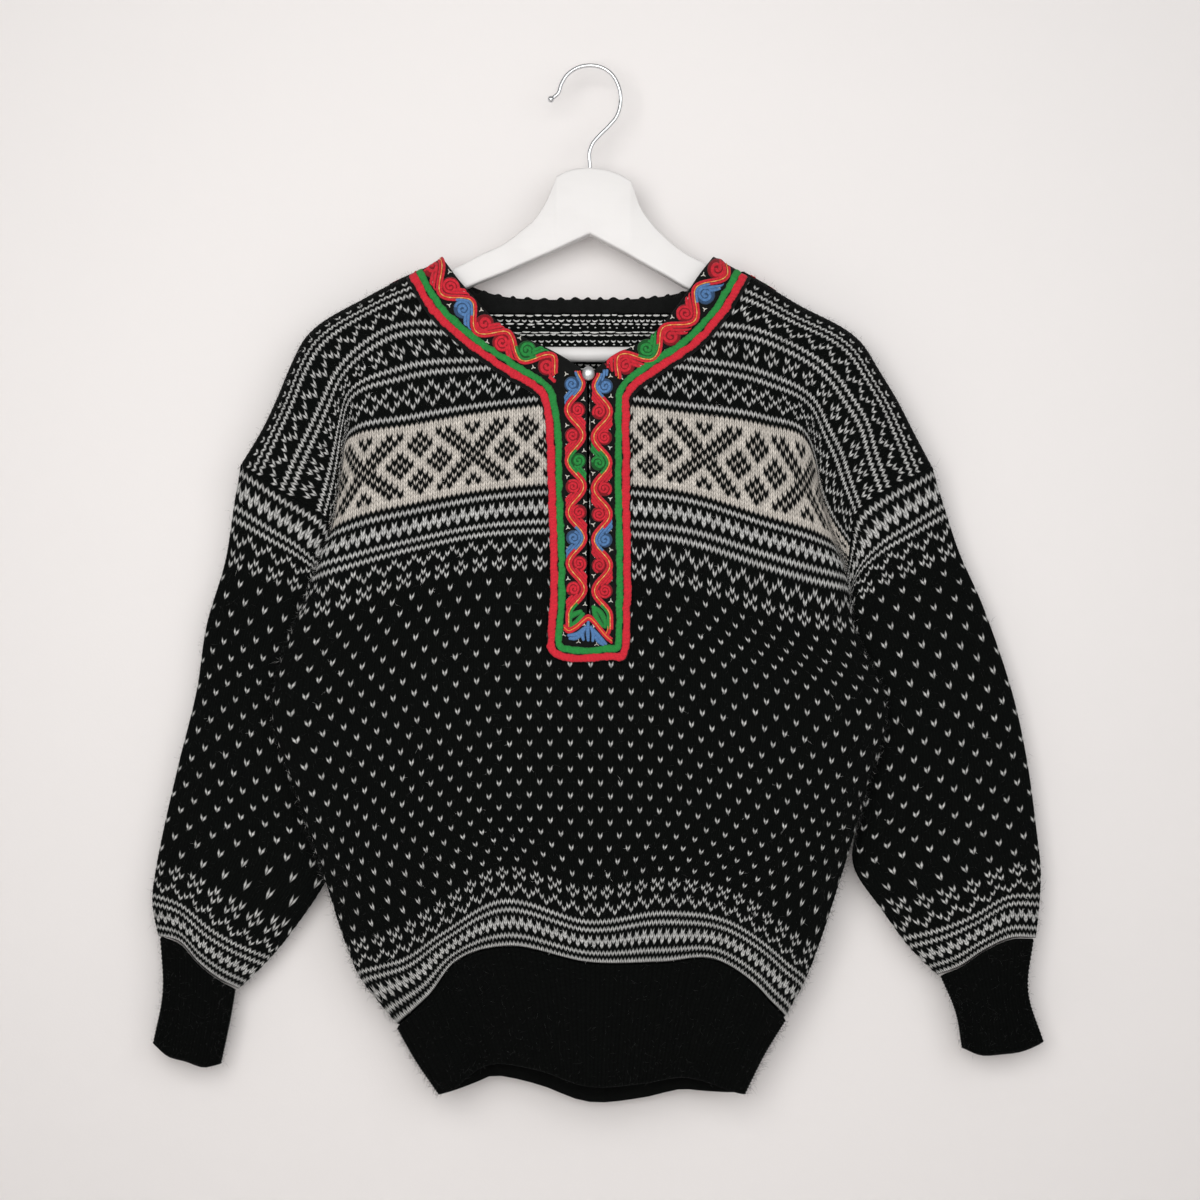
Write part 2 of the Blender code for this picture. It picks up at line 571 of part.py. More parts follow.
def make_front():
    """Front panel with the neck edge and the slit."""
    wales = [-w for w in HALF_WALES[:0:-1]] + list(HALF_WALES)
    w, v, quads, left, right = split_grid(wales, NECK_FRONT, SLIT_END)
    outer = front(w, v)
    normal = facing(front, w, v)
    outer[left, 0] -= SLIT_HALF / 1000
    outer[right, 0] += SLIT_HALF / 1000
    inner = outer - normal * KNIT / 1000
    return wall("front", outer, inner, quads, WOOL)


BACK_HALF = (0, 8, 15, 21, 23.5, 25, 31, 37, 44, 51, 58, 64, 70)


def make_back():
    """Back panel with the neck edge."""
    wales = [-w for w in BACK_HALF[:0:-1]] + list(BACK_HALF)
    w, v, quads, _, _ = split_grid(wales, NECK_BACK)
    outer = back(w, v)
    inner = outer - facing(back, w, v) * KNIT / 1000
    return wall("back", outer, inner, quads, WOOL)


def sleeve_rings(table, side, turns, rows):
    """Grid of sleeve points; the first rows ease from the armhole curve."""
    keys = sorted(table)
    out = []
    edge, _, _ = armhole(side, turns)
    for u in rows:
        ring = round_sleeve(table, turns, np.full(len(turns), max(u, keys[0])))
        if u < keys[0]:
            t = u / keys[0]
            start = round_sleeve(table, turns, np.full(len(turns), keys[0]))
            later = round_sleeve(table, turns, np.full(len(turns), keys[0] + 1.0))
            leave = (start - edge)
            arrive = (later - start) * keys[0]
            ring = ((1 + 2 * t) * (1 - t) ** 2 * edge + t * (1 - t) ** 2 * leave
                    + t * t * (3 - 2 * t) * start + t * t * (t - 1) * arrive)
        out.append(ring)
    return np.array(out)


def ring_normals(rings, flip):
    """Normals of a closed grid of rings, by central differences."""
    around = np.roll(rings, -1, axis=1) - np.roll(rings, 1, axis=1)
    along = np.gradient(rings, axis=0)
    n = np.cross(along, around) * flip
    return n / np.linalg.norm(n, axis=2)[:, :, None]


def even_turns(count, power=1.0):
    """Turns round a flat tube, closer together at its two edges."""
    t = (np.arange(count) + 0.0) / count * 2.0
    half = np.where(t >= 1.0, t - 1.0, t)
    eased = 0.5 - 0.5 * np.cos(np.pi * half)
    half = half + (eased - half) * power
    return np.where(t >= 1.0, 1.0 + half, half)


UNDER_STAND = (0.9, 0.5)         # extra stand-off under the arm, on and out
SLEEVE_STEPS = (0, 2.5, 5.5, 8, 12, 17, 23, 30, 39, 48, 57, 67, 77, 83, 88, 93,
                97, 102)


def make_sleeve(name, table, side):
    """Sleeve from the armhole to the cuff, open at both ends.  Its first ring
    has a point wherever the panels have one."""
    fore = turns_of_rows([r for r in ROWS if r < UNDERARM_ROW])
    fore[0] = 0.0
    turns = np.concatenate([fore, [1.0], 2.0 - fore[:0:-1]])
    rings = sleeve_rings(table, side, turns, SLEEVE_STEPS)
    normal = ring_normals(rings, -side)
    # the first ring stands off the panels; where the sleeve goes on flat its
    # rim lies along theirs, where it folds back it keeps its own
    _, panel, run = armhole(side, turns)
    away = rings[1] - rings[0]
    for direction in (panel, run):
        away -= direction * (away * direction).sum(1)[:, None]
    away /= np.linalg.norm(away, axis=1)[:, None]
    under = np.clip(1.0 - np.abs(turns - 1.0) / 0.3, 0.0, 1.0)[:, None]
    on, out = UNDER_STAND
    rings[0] += (away * (ARM_SEAM + on * under) + panel * (ARM_SEAM + out * under)) / 1000
    folded = np.clip((0.9 - (panel * normal[0]).sum(1)) / 0.6, 0.0, 1.0)[:, None]
    normal[0] = panel + (normal[0] - panel) * folded
    normal[0] /= np.linalg.norm(normal[0], axis=1)[:, None]
    inner = rings - normal * KNIT / 1000
    quads = grid_quads(len(SLEEVE_STEPS), len(turns), closed=True)
    if side > 0:
        quads = [q[::-1] for q in quads]
    return wall(name, rings.reshape(-1, 3), inner.reshape(-1, 3), quads, WOOL)


def ribbed(name, centre_rings, normals, ribs_at, quads, look):
    """Wall with ribs: the outer points step out and in, the inside is plain."""
    raise_by = np.where(ribs_at, RIB_RAISE, 0.0)[None, :, None] / 1000
    outer = centre_rings + normals * raise_by
    inner = centre_rings - normals * (KNIT - 0.4) / 1000
    return wall(name, outer.reshape(-1, 3), inner.reshape(-1, 3), quads, look)


def make_cuff(name, table, side):
    """Ribbed cuff, open at both ends."""
    turns = even_turns(2 * CUFF_RIBS, 0.3)
    heights = (0.0, 0.35, 0.7, 1.0)
    rings = np.array([round_sleeve(table, turns, np.full(len(turns), t))
                      for t in heights])
    normal = ring_normals(rings, -side)
    quads = grid_quads(len(heights), len(turns), closed=True)
    if side > 0:
        quads = [q[::-1] for q in quads]
    up = np.arange(len(turns)) % 2 == 0
    return ribbed(name, rings, normal, up, quads, WOOL)


def hem_rings(heights, around):
    """Grid of the hem: around holds signed wales, front then back."""
    keys = sorted(HEM_DEPTH)
    depth = np.array([list(HEM_DEPTH[k][:0:-1]) + list(HEM_DEPTH[k]) for k in keys], float)
    top = np.array(list(LEFT_ROWS[BODY_ROWS][:0:-1]) + list(RIGHT_ROWS[BODY_ROWS]), float)
    fore, sides, aft = HEM_TOP_DROP
    top[:, 1] += np.where(np.abs(SIGNED) > 50, sides, fore)
    board = np.array([top] + [list(HEM_LEFT[k][:0:-1]) + list(HEM_RIGHT[k])
                              for k in keys[1:]], float)
    rings = []
    for t in heights:
        down = weights(keys, np.array([t]))[0]
        line = np.einsum("r,rsk->sk", down, board)
        out = down @ depth
        ring = []
        for w, face in around:
            across = weights(SIGNED, np.array([w]))[0]
            point, y = across @ line, -(across @ out)
            if face > 0:
                seam = line[0] if w < 0 else line[-1]
                low = across @ line
                blend = np.clip((abs(w) - 36.0) / 34.0, 0, 1)
                base = weights(SIGNED, np.array([math.copysign(36.0, w)]))[0] @ line
                if abs(w) > 36.0:
                    low = base + (seam - base) * blend
                drop = aft * (1 - t) + HEM_BACK_DROP * t * (1 - (w / SIDE_WALE) ** 2)
                point = low + (0.0, drop)
                y = hermite(BACK_STATIONS, HEM_BACK_DEPTH, np.array([abs(w)]))[0]
            ring.append(seen(point, y))
        rings.append(ring)
    return np.array(rings)


def make_hem():
    """Ribbed hem, open at both ends, two points a rib: over the front from
    right to left, then over the back from left to right."""
    n = 2 * HEM_RIBS
    front_w = SIDE_WALE * (1 - 2 * (np.arange(n) + 0.5) / n)
    around = [(w, -1.0) for w in front_w] + [(-w, 1.0) for w in front_w]
    heights = (0.0, 0.5, 1.0)
    rings = hem_rings(heights, around)
    normal = ring_normals(rings, -1.0)
    quads = grid_quads(len(heights), len(around), closed=True)
    up = np.arange(len(around)) % 2 == 0
    return ribbed("hem_rib", rings, normal, up, quads, WOOL)


def strip(name, lines_w, lines_v, surface, gap, heights, look):
    """Flat strip lying on a panel: lines_w and lines_v hold a line of wales
    and rows for each step along the strip; heights the thickness at each
    step across.  Front and back strips keep apart along the shoulder."""
    lines_w, lines_v = np.asarray(lines_w, float), np.asarray(lines_v, float)
    shape = lines_w.shape
    w, v = lines_w.ravel(), lines_v.ravel()
    base, n = surface(w, v), outward(surface, w, v)
    thick = np.tile(np.asarray(heights, float), shape[0])[:, None]
    low = base + n * gap / 1000
    high = base + n * (gap + thick) / 1000
    toward = 1.0 if surface is back else -1.0
    for layer in (low, high):
        layer[:, 1] = toward * np.maximum(toward * layer[:, 1], SEAM / 2000)
    return wall(name, high, low, grid_quads(*shape), look)


NEAR_SHOULDER = (0, 0.07, 0.2, 0.4, 0.75, 1.3)
BAND_STEPS = (list(NEAR_SHOULDER) + list(range(2, len(BAND_OUTER) - 2))
              + [len(BAND_OUTER) - 1 - t for t in NEAR_SHOULDER[::-1]])


def band_edges():
    """The band's two edges at the steps; closer together at the shoulders."""
    count = np.arange(len(BAND_OUTER))
    return hermite(count, BAND_OUTER, BAND_STEPS), hermite(count, BAND_INNER, BAND_STEPS)


def lay_on_front(name, lines, gap, heights, look):
    """Strip on the front along lines of board points, ending at the shoulder
    ridge."""
    w, v = locate(np.stack(lines, 1).reshape(-1, 2))
    shape = (len(lines[0]), len(lines))
    v = v.reshape(shape)
    v[0], v[-1] = 0.0, 0.0
    strip(name, w.reshape(shape), v, front, gap, heights, look)


def make_neck_band():
    """Felt band round the front neck and down both sides of the slit."""
    outer, inner = band_edges()
    lay_on_front("neck_band", [outer + (inner - outer) * f for f in (0.02, 0.5, 1.0)],
                 LIFT, (FELT, FELT, FELT), FELT_BLACK)


def offset_path(distance):
    """Path at an even distance inside the band's outer edge."""
    outer, inner = band_edges()
    ahead = np.gradient(outer, axis=0)
    ahead /= np.linalg.norm(ahead, axis=1)[:, None]
    turn = np.stack([ahead[:, 1], -ahead[:, 0]], 1)
    across = inner - outer
    across /= np.linalg.norm(across, axis=1)[:, None]
    turn *= np.sign((turn * across).sum(1))[:, None]
    cosine = np.clip((turn * across).sum(1), 0.5, 1.0)[:, None]
    return outer + across * distance / cosine


def make_edging(name, look):
    """Wool edging on the front band, highest along its middle."""
    middle, width = EDGINGS[name]
    lay_on_front(name, [offset_path(middle + width * k) for k in (-0.5, 0.0, 0.5)],
                 LIFT + FELT + CORD_GAP, (0.5, CORD, 0.5), look)


def back_lines(fractions):
    """Wales and rows across the neck band on the back panel; BACK_BAND gives
    wale and row of its inner edge, then of its outer edge."""
    full = np.array(list(BACK_BAND) + [(-a, b, -c, d) for a, b, c, d in BACK_BAND[-2::-1]])
    knots = np.arange(len(full))
    ends = np.array([0, 0.05, 0.14, 0.3, 0.55])
    steps = np.concatenate([ends, np.linspace(1, len(full) - 2, 13),
                            len(full) - 1 - ends[::-1]])
    dense = hermite(knots, full, steps)
    f = np.asarray(fractions, float)[None, :]
    w = dense[:, 2:3] + (dense[:, 0:1] - dense[:, 2:3]) * f
    v = dense[:, 3:4] + (dense[:, 1:2] - dense[:, 3:4]) * f
    v[0], v[-1] = 0.0, 0.0
    return w, v


def make_back_band():
    """Felt band round the back neck."""
    w, v = back_lines((0.02, 0.5, 1.0))
    strip("neck_band_back", w, v, back, LIFT, (FELT, FELT, FELT), FELT_BLACK)


def make_back_edging(name, look):
    """Wool edging on the back band."""
    middle, width = EDGINGS[name]
    w, v = back_lines([(middle + width * k) / BACK_BAND_WIDE for k in (-0.5, 0.0, 0.5)])
    strip(name + "_back", w, v, back, LIFT + FELT + CORD_GAP, (0.5, CORD, 0.5), look)


def make_facing():
    """Felt facing inside the back neck; its upper edge waves a little."""
    w = np.linspace(-FACING_HALF, FACING_HALF, FACING_STEPS)
    top = np.interp(np.abs(w), *np.transpose(FACING_TOP))
    low = FACING_LOW - (w / FACING_HALF) ** 2
    wave = FACING_WAVE * (np.arange(FACING_STEPS) % 2)
    lines_w, lines_v = np.repeat(w, 2), np.stack([low, top + wave], 1).ravel()
    base, n = back(lines_w, lines_v), outward(back, lines_w, lines_v)
    near = base - n * (KNIT + LIFT) / 1000
    far = base - n * (KNIT + LIFT + FACING) / 1000
    wall("neck_facing", far, near, grid_quads(FACING_STEPS, 2), FELT_BLACK)


def make_button():
    """Ball button, a little flattened, on the band at the top of the slit."""
    w, v = locate(np.array([BUTTON_AT]))
    rest = front(w, v)[0, 1] - (LIFT + FELT - BUTTON_SUNK) / 1000
    x, _, z = seen(BUTTON_AT, rest * 1000)
    bpy.ops.mesh.primitive_uv_sphere_add(
        segments=12, ring_count=8, radius=BUTTON / 1000,
        location=(x, rest - BUTTON * BUTTON_FLAT / 1000, z))
    ball = bpy.context.object
    ball.scale.y = BUTTON_FLAT
    ball.data.shade_smooth()
    dress(ball, "button", PEWTER)


def make_wood():
    """Wooden hanger: rounded sections from tip to tip."""
    rings = []
    for column, top, low, half in WOOD:
        soft = 1.6
        a = seen((column, top), 0.0)
        b = seen((column, low), 0.0)
        x, zt, zb = a[0], a[2] * 1000, b[2] * 1000
        ring = [(-half + soft, zt), (half - soft, zt), (half, zt - soft),
                (half, zb + soft), (half - soft, zb), (-half + soft, zb),
                (-half, zb + soft), (-half, zt - soft)]
        rings.append([(x, y / 1000, z / 1000) for y, z in ring])
    n = len(rings)
    faces = [[r * 8 + c, r * 8 + (c + 1) % 8, (r + 1) * 8 + (c + 1) % 8, (r + 1) * 8 + c]
             for r in range(n - 1) for c in range(8)]
    faces.append(list(range(8))[::-1])
    faces.append([(n - 1) * 8 + c for c in range(8)])
    closed_mesh("hanger", np.array(rings).reshape(-1, 3), faces, PAINT, smooth=False)


def make_bar():
    """Round trouser bar between the hanger's two cheeks."""
    left, right = [seen((column, BAR_ROW), 0.0) for column in BAR_COLUMNS]
    bpy.ops.mesh.primitive_cylinder_add(
        vertices=14, radius=BAR_RADIUS / 1000, depth=right[0] - left[0],
        location=(left + right) / 2, rotation=(0.0, math.pi / 2, 0.0))
    bar = bpy.context.object
    bar.data.shade_smooth()
    bar.data.set_sharp_from_angle(angle=math.radians(50))
    dress(bar, "trouser_bar", PAINT)


def make_hook():
    """Bent wire with a ball at its tip; its foot stands just over the wood."""
    knots = np.array(HOOK_PATH, float)
    run = np.concatenate([[0], np.cumsum(np.linalg.norm(np.diff(knots, axis=0), axis=1))])
    path = seen(hermite(run, knots, np.linspace(0, run[-1], HOOK_POINTS)),
                np.zeros(HOOK_POINTS))
    curve = bpy.data.curves.new("hook", "CURVE")
    curve.dimensions = "3D"
    curve.bevel_depth = HOOK_WIRE / 2000
    curve.bevel_resolution = 2
    curve.use_fill_caps = True
    wire = curve.splines.new("POLY")
    wire.points.add(HOOK_POINTS - 1)
    for point, place in zip(wire.points, path):
        point.co = (*place, 1.0)
    for point, wider in zip(wire.points, (0.75, 1.0, 0.8)):
        point.radius = wider * 2 * HOOK_BALL / HOOK_WIRE
    dress(bpy.data.objects.new("hook", curve), "hook", STEEL)


def main():
    """Build every piece into the collection."""
    clear_scene()
    bpy.context.scene.collection.children.link(bpy.data.collections.new(GROUP))
    make_front()
    make_back()
    make_sleeve("sleeve_left", SLEEVE_LEFT, -1)
    make_sleeve("sleeve_right", SLEEVE_RIGHT, 1)
    make_hem()
    make_cuff("cuff_left", CUFF_LEFT, -1)
    make_cuff("cuff_right", CUFF_RIGHT, 1)
    make_neck_band()
    make_back_band()
    make_edging("edging_red", RED)
    make_edging("edging_green", GREEN)
    make_back_edging("edging_red", RED)
    make_back_edging("edging_green", GREEN)
    make_facing()
    make_button()
    make_wood()
    make_bar()
    make_hook()


main()
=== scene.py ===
"""Looks of a black and white stranded pullover on a white wooden hanger.

Frame: metres, +Z up, +X to the viewer's right, the pullover's front faces
-Y, and the hook hangs at the origin.

Outlines are drawn on a board, 1.2 board units to a millimetre, columns to
the right and rows down; `seen(board, depth)` puts a board point into the
room.  Knitting is charted by wale w (across, or round a sleeve) and row v
(down from the shoulder, or u down from the armhole).  A stitch is one wale
wide and one row high, and its two legs are small pillows that lean together
into a V.
"""
import math

import bpy
import numpy as np
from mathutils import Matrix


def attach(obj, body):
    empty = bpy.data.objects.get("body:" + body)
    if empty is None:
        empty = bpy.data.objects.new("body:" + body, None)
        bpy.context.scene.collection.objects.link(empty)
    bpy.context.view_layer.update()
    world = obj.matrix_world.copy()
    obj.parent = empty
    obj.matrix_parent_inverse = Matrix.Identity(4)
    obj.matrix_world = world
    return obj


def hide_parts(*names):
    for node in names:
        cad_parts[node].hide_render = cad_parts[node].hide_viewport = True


bl_info = {
    "name": "Stranded pullover on a hanger",
    "version": (1, 0, 0),
    "blender": (4, 5, 0),
    "location": "View3D > Sidebar > Pullover",
    "description": "Knitted panels, embroidered neck band, ribs, hanger and stage",
    "category": "Object",
}

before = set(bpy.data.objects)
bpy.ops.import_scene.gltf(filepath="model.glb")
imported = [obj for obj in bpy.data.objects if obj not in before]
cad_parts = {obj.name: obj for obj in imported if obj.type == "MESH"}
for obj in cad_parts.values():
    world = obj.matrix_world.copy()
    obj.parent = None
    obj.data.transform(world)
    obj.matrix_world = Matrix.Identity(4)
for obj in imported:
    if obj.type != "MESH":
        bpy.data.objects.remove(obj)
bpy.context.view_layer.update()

# ---------------------------------------------------------------- sizes (mm)
UNIT = 1.2                       # board units to a millimetre
MOUNT = (590.0, 66.5)            # board point of the origin
EYE = (8.333, -1500.0, -444.58)  # where the board is looked at from
KNIT = 2.6                       # thickness of the knitted wall
FELT = 2.0                       # thickness of the felt bands
SEAM = 0.3                       # gap between neighbouring pieces
ARM_SEAM = 0.35                  # the same round the armholes
SEAM_SHIFT = 0.7                 # board units the back's side edge stands in
LIFT = 0.8                       # gap under what lies on a curved panel
CORD = 2.6                       # height at which the wool edgings lie
STRAND_PITCH = 4.3               # board units from strand to strand in them
STITCHED = 2.55                  # height at which the embroidery starts
LANE_LINES = 13                  # lines across a net over a lane of cloth
FIBRE_LONG, FIBRE_THICK = (1.6, 5.4), 0.07     # loose fibres
SIDE_WALE = 70.0                 # wale of the side seam
STRAIGHT_WALE = 36.0             # wale from which the back runs straight to it
SHOULDER_ROWS = 6.0              # rows in which the wall turns over the shoulder
UNDERARM_ROW = 54.0              # row where the side seam starts
BODY_ROWS = 157.0                # rows from the shoulder to the rib
SLEEVE_ROWS = 102.0              # rows from the armhole to the cuff
SLEEVE_WALES = 56                # stitches round a sleeve
SLIT_HALF = 1.3                  # half the width of the neck slit
HOOK_WIRE = 3.6                  # diameter of the hook wire
BAR_RADIUS = 6.3                 # trouser bar
WALL_AT, FLOOR_AT = 0.031, -1.15     # y of the wall and z of the floor (m)
LIT_AT = (0.0, 0.0, -0.45)       # point the lamps are turned to (m)
BUTTON = 5.2                     # radius of the throat button
BUTTON_FLAT = 0.72               # its depth over its width
FACING_SHOWN = 313.5             # board height of the facing's lower edge
HEM_STITCHES = 27                # rows of the hem rib
CUFF_STITCHES = 26               # rows of the cuffs
RIB_RELIEF = (0.7, 0.2, 1.5, 0.34)   # furrow, middle, rise and lean of the ribs

# ------------------------------------------------- tables of the front panel
STATIONS = (0, 20, 36, 48, 53, 58, 64, 70)      # wales from the centre

# row: board (column, row) at every station, left half
LEFT_ROWS = {
    0.0: ((588, 240), (460, 256), (366, 297), (304, 339), (290, 366),
          (278, 395), (262, 429), (241, 464)),
    5.0: ((588, 264), (465, 274), (371, 309), (315, 348), (301, 373),
          (290, 401), (275, 434), (256, 474)),
    12.5: ((588, 310), (473, 321), (384, 333), (336, 376), (324, 402),
           (312, 428), (297, 459), (283, 492)),
    22.0: ((588, 358), (491, 365), (405, 375), (348, 400), (341, 426),
           (337, 453), (331, 484), (323, 515)),
    32.0: ((588, 403), (489, 411), (412, 424), (356, 434), (346, 443),
           (344, 470), (339, 503), (331, 533)),
    40.0: ((588, 441), (490, 449), (413, 462), (354, 474), (341, 483),
           (341, 505), (340, 530), (337, 556)),
    49.0: ((588, 484), (490, 490), (413, 504), (352, 519), (333, 529),
           (334, 543), (339, 562), (343, 586)),
    54.0: ((588, 509), (489, 514), (412, 529), (350, 544), (326, 552),
           (322, 561), (331, 575), (347, 600)),
    65.5: ((588, 567), (487, 564), (411, 579), (351, 599), (325, 608),
           (301, 612), (309, 620), (336, 632)),
    85.0: ((588, 653), (484, 655), (400, 671), (337, 690), (309, 698),
           (275, 705), (284, 709), (310, 716)),
    105.0: ((588, 741), (487, 744), (409, 761), (351, 779), (327, 787),
            (300, 795), (305, 799), (322, 804)),
    125.0: ((588, 829), (488, 826), (413, 847), (362, 869), (345, 876),
            (328, 883), (331, 887), (344, 891)),
    139.5: ((588, 893), (500, 873), (438, 909), (393, 936), (372, 942),
            (350, 948), (352, 952), (364, 955)),
    148.5: ((588, 930), (502, 910), (444, 940), (404, 968), (385, 974),
            (365, 980), (366, 984), (376, 988)),
    157.0: ((588, 962), (507, 946), (455, 962), (428, 996), (414, 1009),
            (399, 1022), (400, 1025), (408, 1029)),
}

# the same for the right half, which hangs a little differently
RIGHT_ROWS = {
    0.0: ((588, 240), (716, 260), (798, 304), (863, 344), (880, 371),
          (897, 399), (914, 432), (932, 466)),
    5.0: ((588, 264), (707, 277), (789, 317), (852, 353), (869, 379),
          (885, 406), (900, 439), (915, 475)),
    12.5: ((588, 310), (686, 320), (774, 338), (833, 375), (850, 398),
           (865, 422), (875, 456), (887, 489)),
    22.0: ((588, 358), (687, 365), (766, 381), (814, 408), (825, 432),
           (836, 455), (846, 483), (857, 512)),
    32.0: ((588, 403), (687, 412), (764, 424), (807, 441), (815, 462),
           (819, 488), (831, 518), (850, 546)),
    40.0: ((588, 441), (687, 451), (764, 469), (811, 485), (820, 497),
           (824, 513), (833, 535), (848, 564)),
    49.0: ((588, 484), (687, 493), (763, 516), (818, 533), (832, 541),
           (836, 551), (839, 565), (842, 585)),
    54.0: ((588, 509), (687, 517), (763, 540), (817, 556), (836, 562),
           (843, 568), (842, 580), (834, 600)),
    65.5: ((588, 567), (684, 580), (757, 604), (811, 620), (833, 624),
           (853, 626), (848, 631), (832, 637)),
    85.0: ((588, 653), (690, 660), (774, 680), (835, 696), (861, 702),
           (884, 706), (876, 711), (852, 717)),
    105.0: ((588, 741), (688, 748), (768, 768), (825, 784), (846, 789),
            (864, 793), (858, 797), (841, 803)),
    125.0: ((588, 829), (684, 832), (758, 850), (808, 864), (825, 869),
            (841, 873), (836, 877), (822, 882)),
    139.5: ((588, 893), (672, 884), (737, 898), (780, 928), (797, 941),
            (814, 953), (811, 957), (800, 961)),
    148.5: ((588, 930), (667, 922), (728, 930), (770, 957), (785, 971),
            (801, 984), (798, 988), (788, 992)),
    157.0: ((588, 962), (660, 962), (717, 960), (757, 986), (770, 1000),
            (784, 1014), (782, 1018), (773, 1022)),
}

# row: how far the outside stands in front of the board (mm) at the stations
FRONT_DEPTH = {
    0.0: (14, 14, 14, 13, 12, 11, 10, 9),
    5.0: (15, 15, 15, 14, 13, 12, 11.5, 10.5),
    12.5: (18, 18, 18, 17, 16, 15, 14, 12.5),
    22.0: (23, 23, 23, 21, 18, 16, 14, 11.5),
    32.0: (28, 28, 28, 25.5, 19, 14, 11.5, 8),
    40.0: (31, 31, 30, 27.5, 20, 13.5, 10.5, 6),
    49.0: (34, 33, 32, 29, 21.5, 13.5, 9, 5),
    54.0: (35, 34, 32.5, 29.5, 24, 15.5, 9, 4.5),
    65.5: (36, 35, 33, 29.5, 25, 15, 9, 6.5),
    85.0: (37, 36, 33, 28.5, 24, 14, 8.5, 6.5),
    105.0: (38, 37, 33, 28, 24, 14, 8, 5.5),
    125.0: (40, 39, 34, 28, 24, 13.5, 7, 4.5),
    139.5: (44, 42, 35, 28, 23, 13, 6.5, 4.0),
    148.5: (46, 43, 35, 29, 24, 14, 6.5, 4.0),
    157.0: (44, 38, 29, 26, 23, 15, 7.5, 4.0),
}

# -------------------------------------------------- tables of the back panel
BACK_STATIONS = (0, 20, 36, 48, 58, 64, 70)
BACK_DEPTH = {                   # how far the outside stands behind the board
    0.0: (11, 11, 11, 11, 10, 10, 9),
    5.0: (12, 12, 12, 12, 11.5, 11, 10.5),
    12.5: (13, 13, 13, 13, 13, 13, 12.5),
    22.0: (14, 14, 14, 14, 14.5, 15, 14.5),
    32.0: (14, 14, 14, 13.5, 13, 13, 12.5),
    40.0: (14, 14, 13, 11, 9.5, 9, 8),
    49.0: (14, 14, 12, 8, 4, 2.5, 1.5),
    54.0: (14, 14, 12, 6, 0, -2.5, -4.5),
    65.5: (14, 14, 12, 5, -2, -4.8, -6.5),
    85.0: (14, 14, 12, 5, -2, -4.8, -6.5),
    105.0: (14, 14, 12, 5, -1, -3.8, -5.5),
    125.0: (14, 14, 12, 5, -0.5, -2.8, -4.5),
    148.5: (16, 15, 12, 6, 0, -2, -4.0),
    157.0: (14, 13, 10, 5, 0, -2.5, -4.0),
}

# --------------------------------------------------------- the neck and slit
# wale and row of the cut edge of the knitting under the neck band
NECK_FRONT = ((0.0, 26.2), (4.7, 23.8), (8.0, 21.6), (17.0, 16.4),
              (21.5, 9.5), (25.0, 0.0))
NECK_BACK = ((0.0, 11.6), (8.0, 11.3), (14.0, 10.3), (19.0, 8.4),
             (22.0, 5.0), (25.0, 0.0))
SLIT_END = 79.0                  # row where the slit ends
FACING_TOP = ((0, 10.7), (8, 10.5), (14, 9.6), (19, 8.0), (22, 5.0))
FACING_HALF = 20.4               # wales to either side of the centre
BACK_BAND = ((25.0, 0.0, 31.8, 0.0), (22.6, 3.6, 29.6, 6.4), (20.0, 6.8, 25.6, 12.2),
             (15.0, 9.2, 18.4, 17.6), (8.0, 10.4, 9.6, 20.2), (0.0, 10.7, 0.0, 20.8))
BACK_BAND_WIDE = 46.0            # board units across the band on the back
SLIT_STEPS = (8.2, 23.8)         # between these points the band edges the slit
NECK_VINE = 0.7                  # share of its width at which the neck's vine runs
# wool cords: name, distance of the middle from the band's outer edge, half
# width (both in board units), seed
CORDS = (("red", 7.3, 4.0, 41), ("green", 14.7, 3.65, 42))
CORD_REACH = 5.2                 # how far a cord's lane reaches to either side
BAY_PITCH = 25.5                 # board units from bay to bay along the slit
SLIT_VINE = 10.6                 # half the width of the embroidery there

# board points along the outer edge of the neck band and its inner edge;
# the two rows of points are opposite each other
BAND_OUTER = ((407, 280), (420, 303), (433, 321), (455, 342), (477, 359),
              (495, 371), (512, 382), (528, 391), (539, 400), (545, 420),
              (547, 450), (548, 500), (550, 550), (550, 600), (548, 649),
              (566, 661), (589, 662), (610, 660), (628, 656), (631, 600),
              (631, 550), (630, 500), (630, 450), (630, 410), (636, 394),
              (650, 383), (666, 372), (682, 362), (704, 345), (726, 320),
              (738, 301), (750, 280))
BAND_INNER = ((445, 262), (458, 279), (471, 294), (486, 311), (504, 327),
              (522, 337), (540, 345), (556, 353), (571, 362), (583, 372),
              (587, 390), (587, 440), (587, 500), (587, 560), (587, 622),
              (587.6, 628), (588.6, 630), (589.6, 628), (590.2, 622),
              (590.2, 560), (590.2, 500), (590.2, 440), (590.2, 390),
              (594, 372), (605, 362), (617, 354), (632, 347), (650, 337),
              (671, 314), (688, 291), (699, 275), (712, 259))

# ------------------------------------------------------------ hem rib tables
# height fraction: board points at the stations, then depth at the stations
HEM_LEFT = {
    0.5: ((588, 1026), (522, 1008), (474, 1014), (447, 1038), (434, 1049),
          (418, 1059), (419, 1061), (426, 1063)),
    1.0: ((588, 1087), (535, 1070), (490, 1065), (466, 1079), (455, 1089),
          (441, 1094), (442, 1094), (448, 1092)),
}
HEM_RIGHT = {
    0.5: ((588, 1026), (652, 1020), (702, 1016), (737, 1037), (750, 1046),
          (763, 1053), (761, 1055), (754, 1057)),
    1.0: ((588, 1087), (643, 1084), (686, 1078), (717, 1086), (730, 1091),
          (743, 1094), (741, 1094), (734, 1092)),
}
HEM_DEPTH = {
    0.0: (40, 34, 25, 22.5, 20, 12.5, 7, 4.5),
    0.5: (42, 31, 20, 22, 21, 14, 8, 5),
    1.0: (44, 27, 15, 21, 22, 15, 9, 5.5),
}
HEM_TOP_DROP = (0.9, 3.0, 1.4)   # gap over the hem at front, sides and back
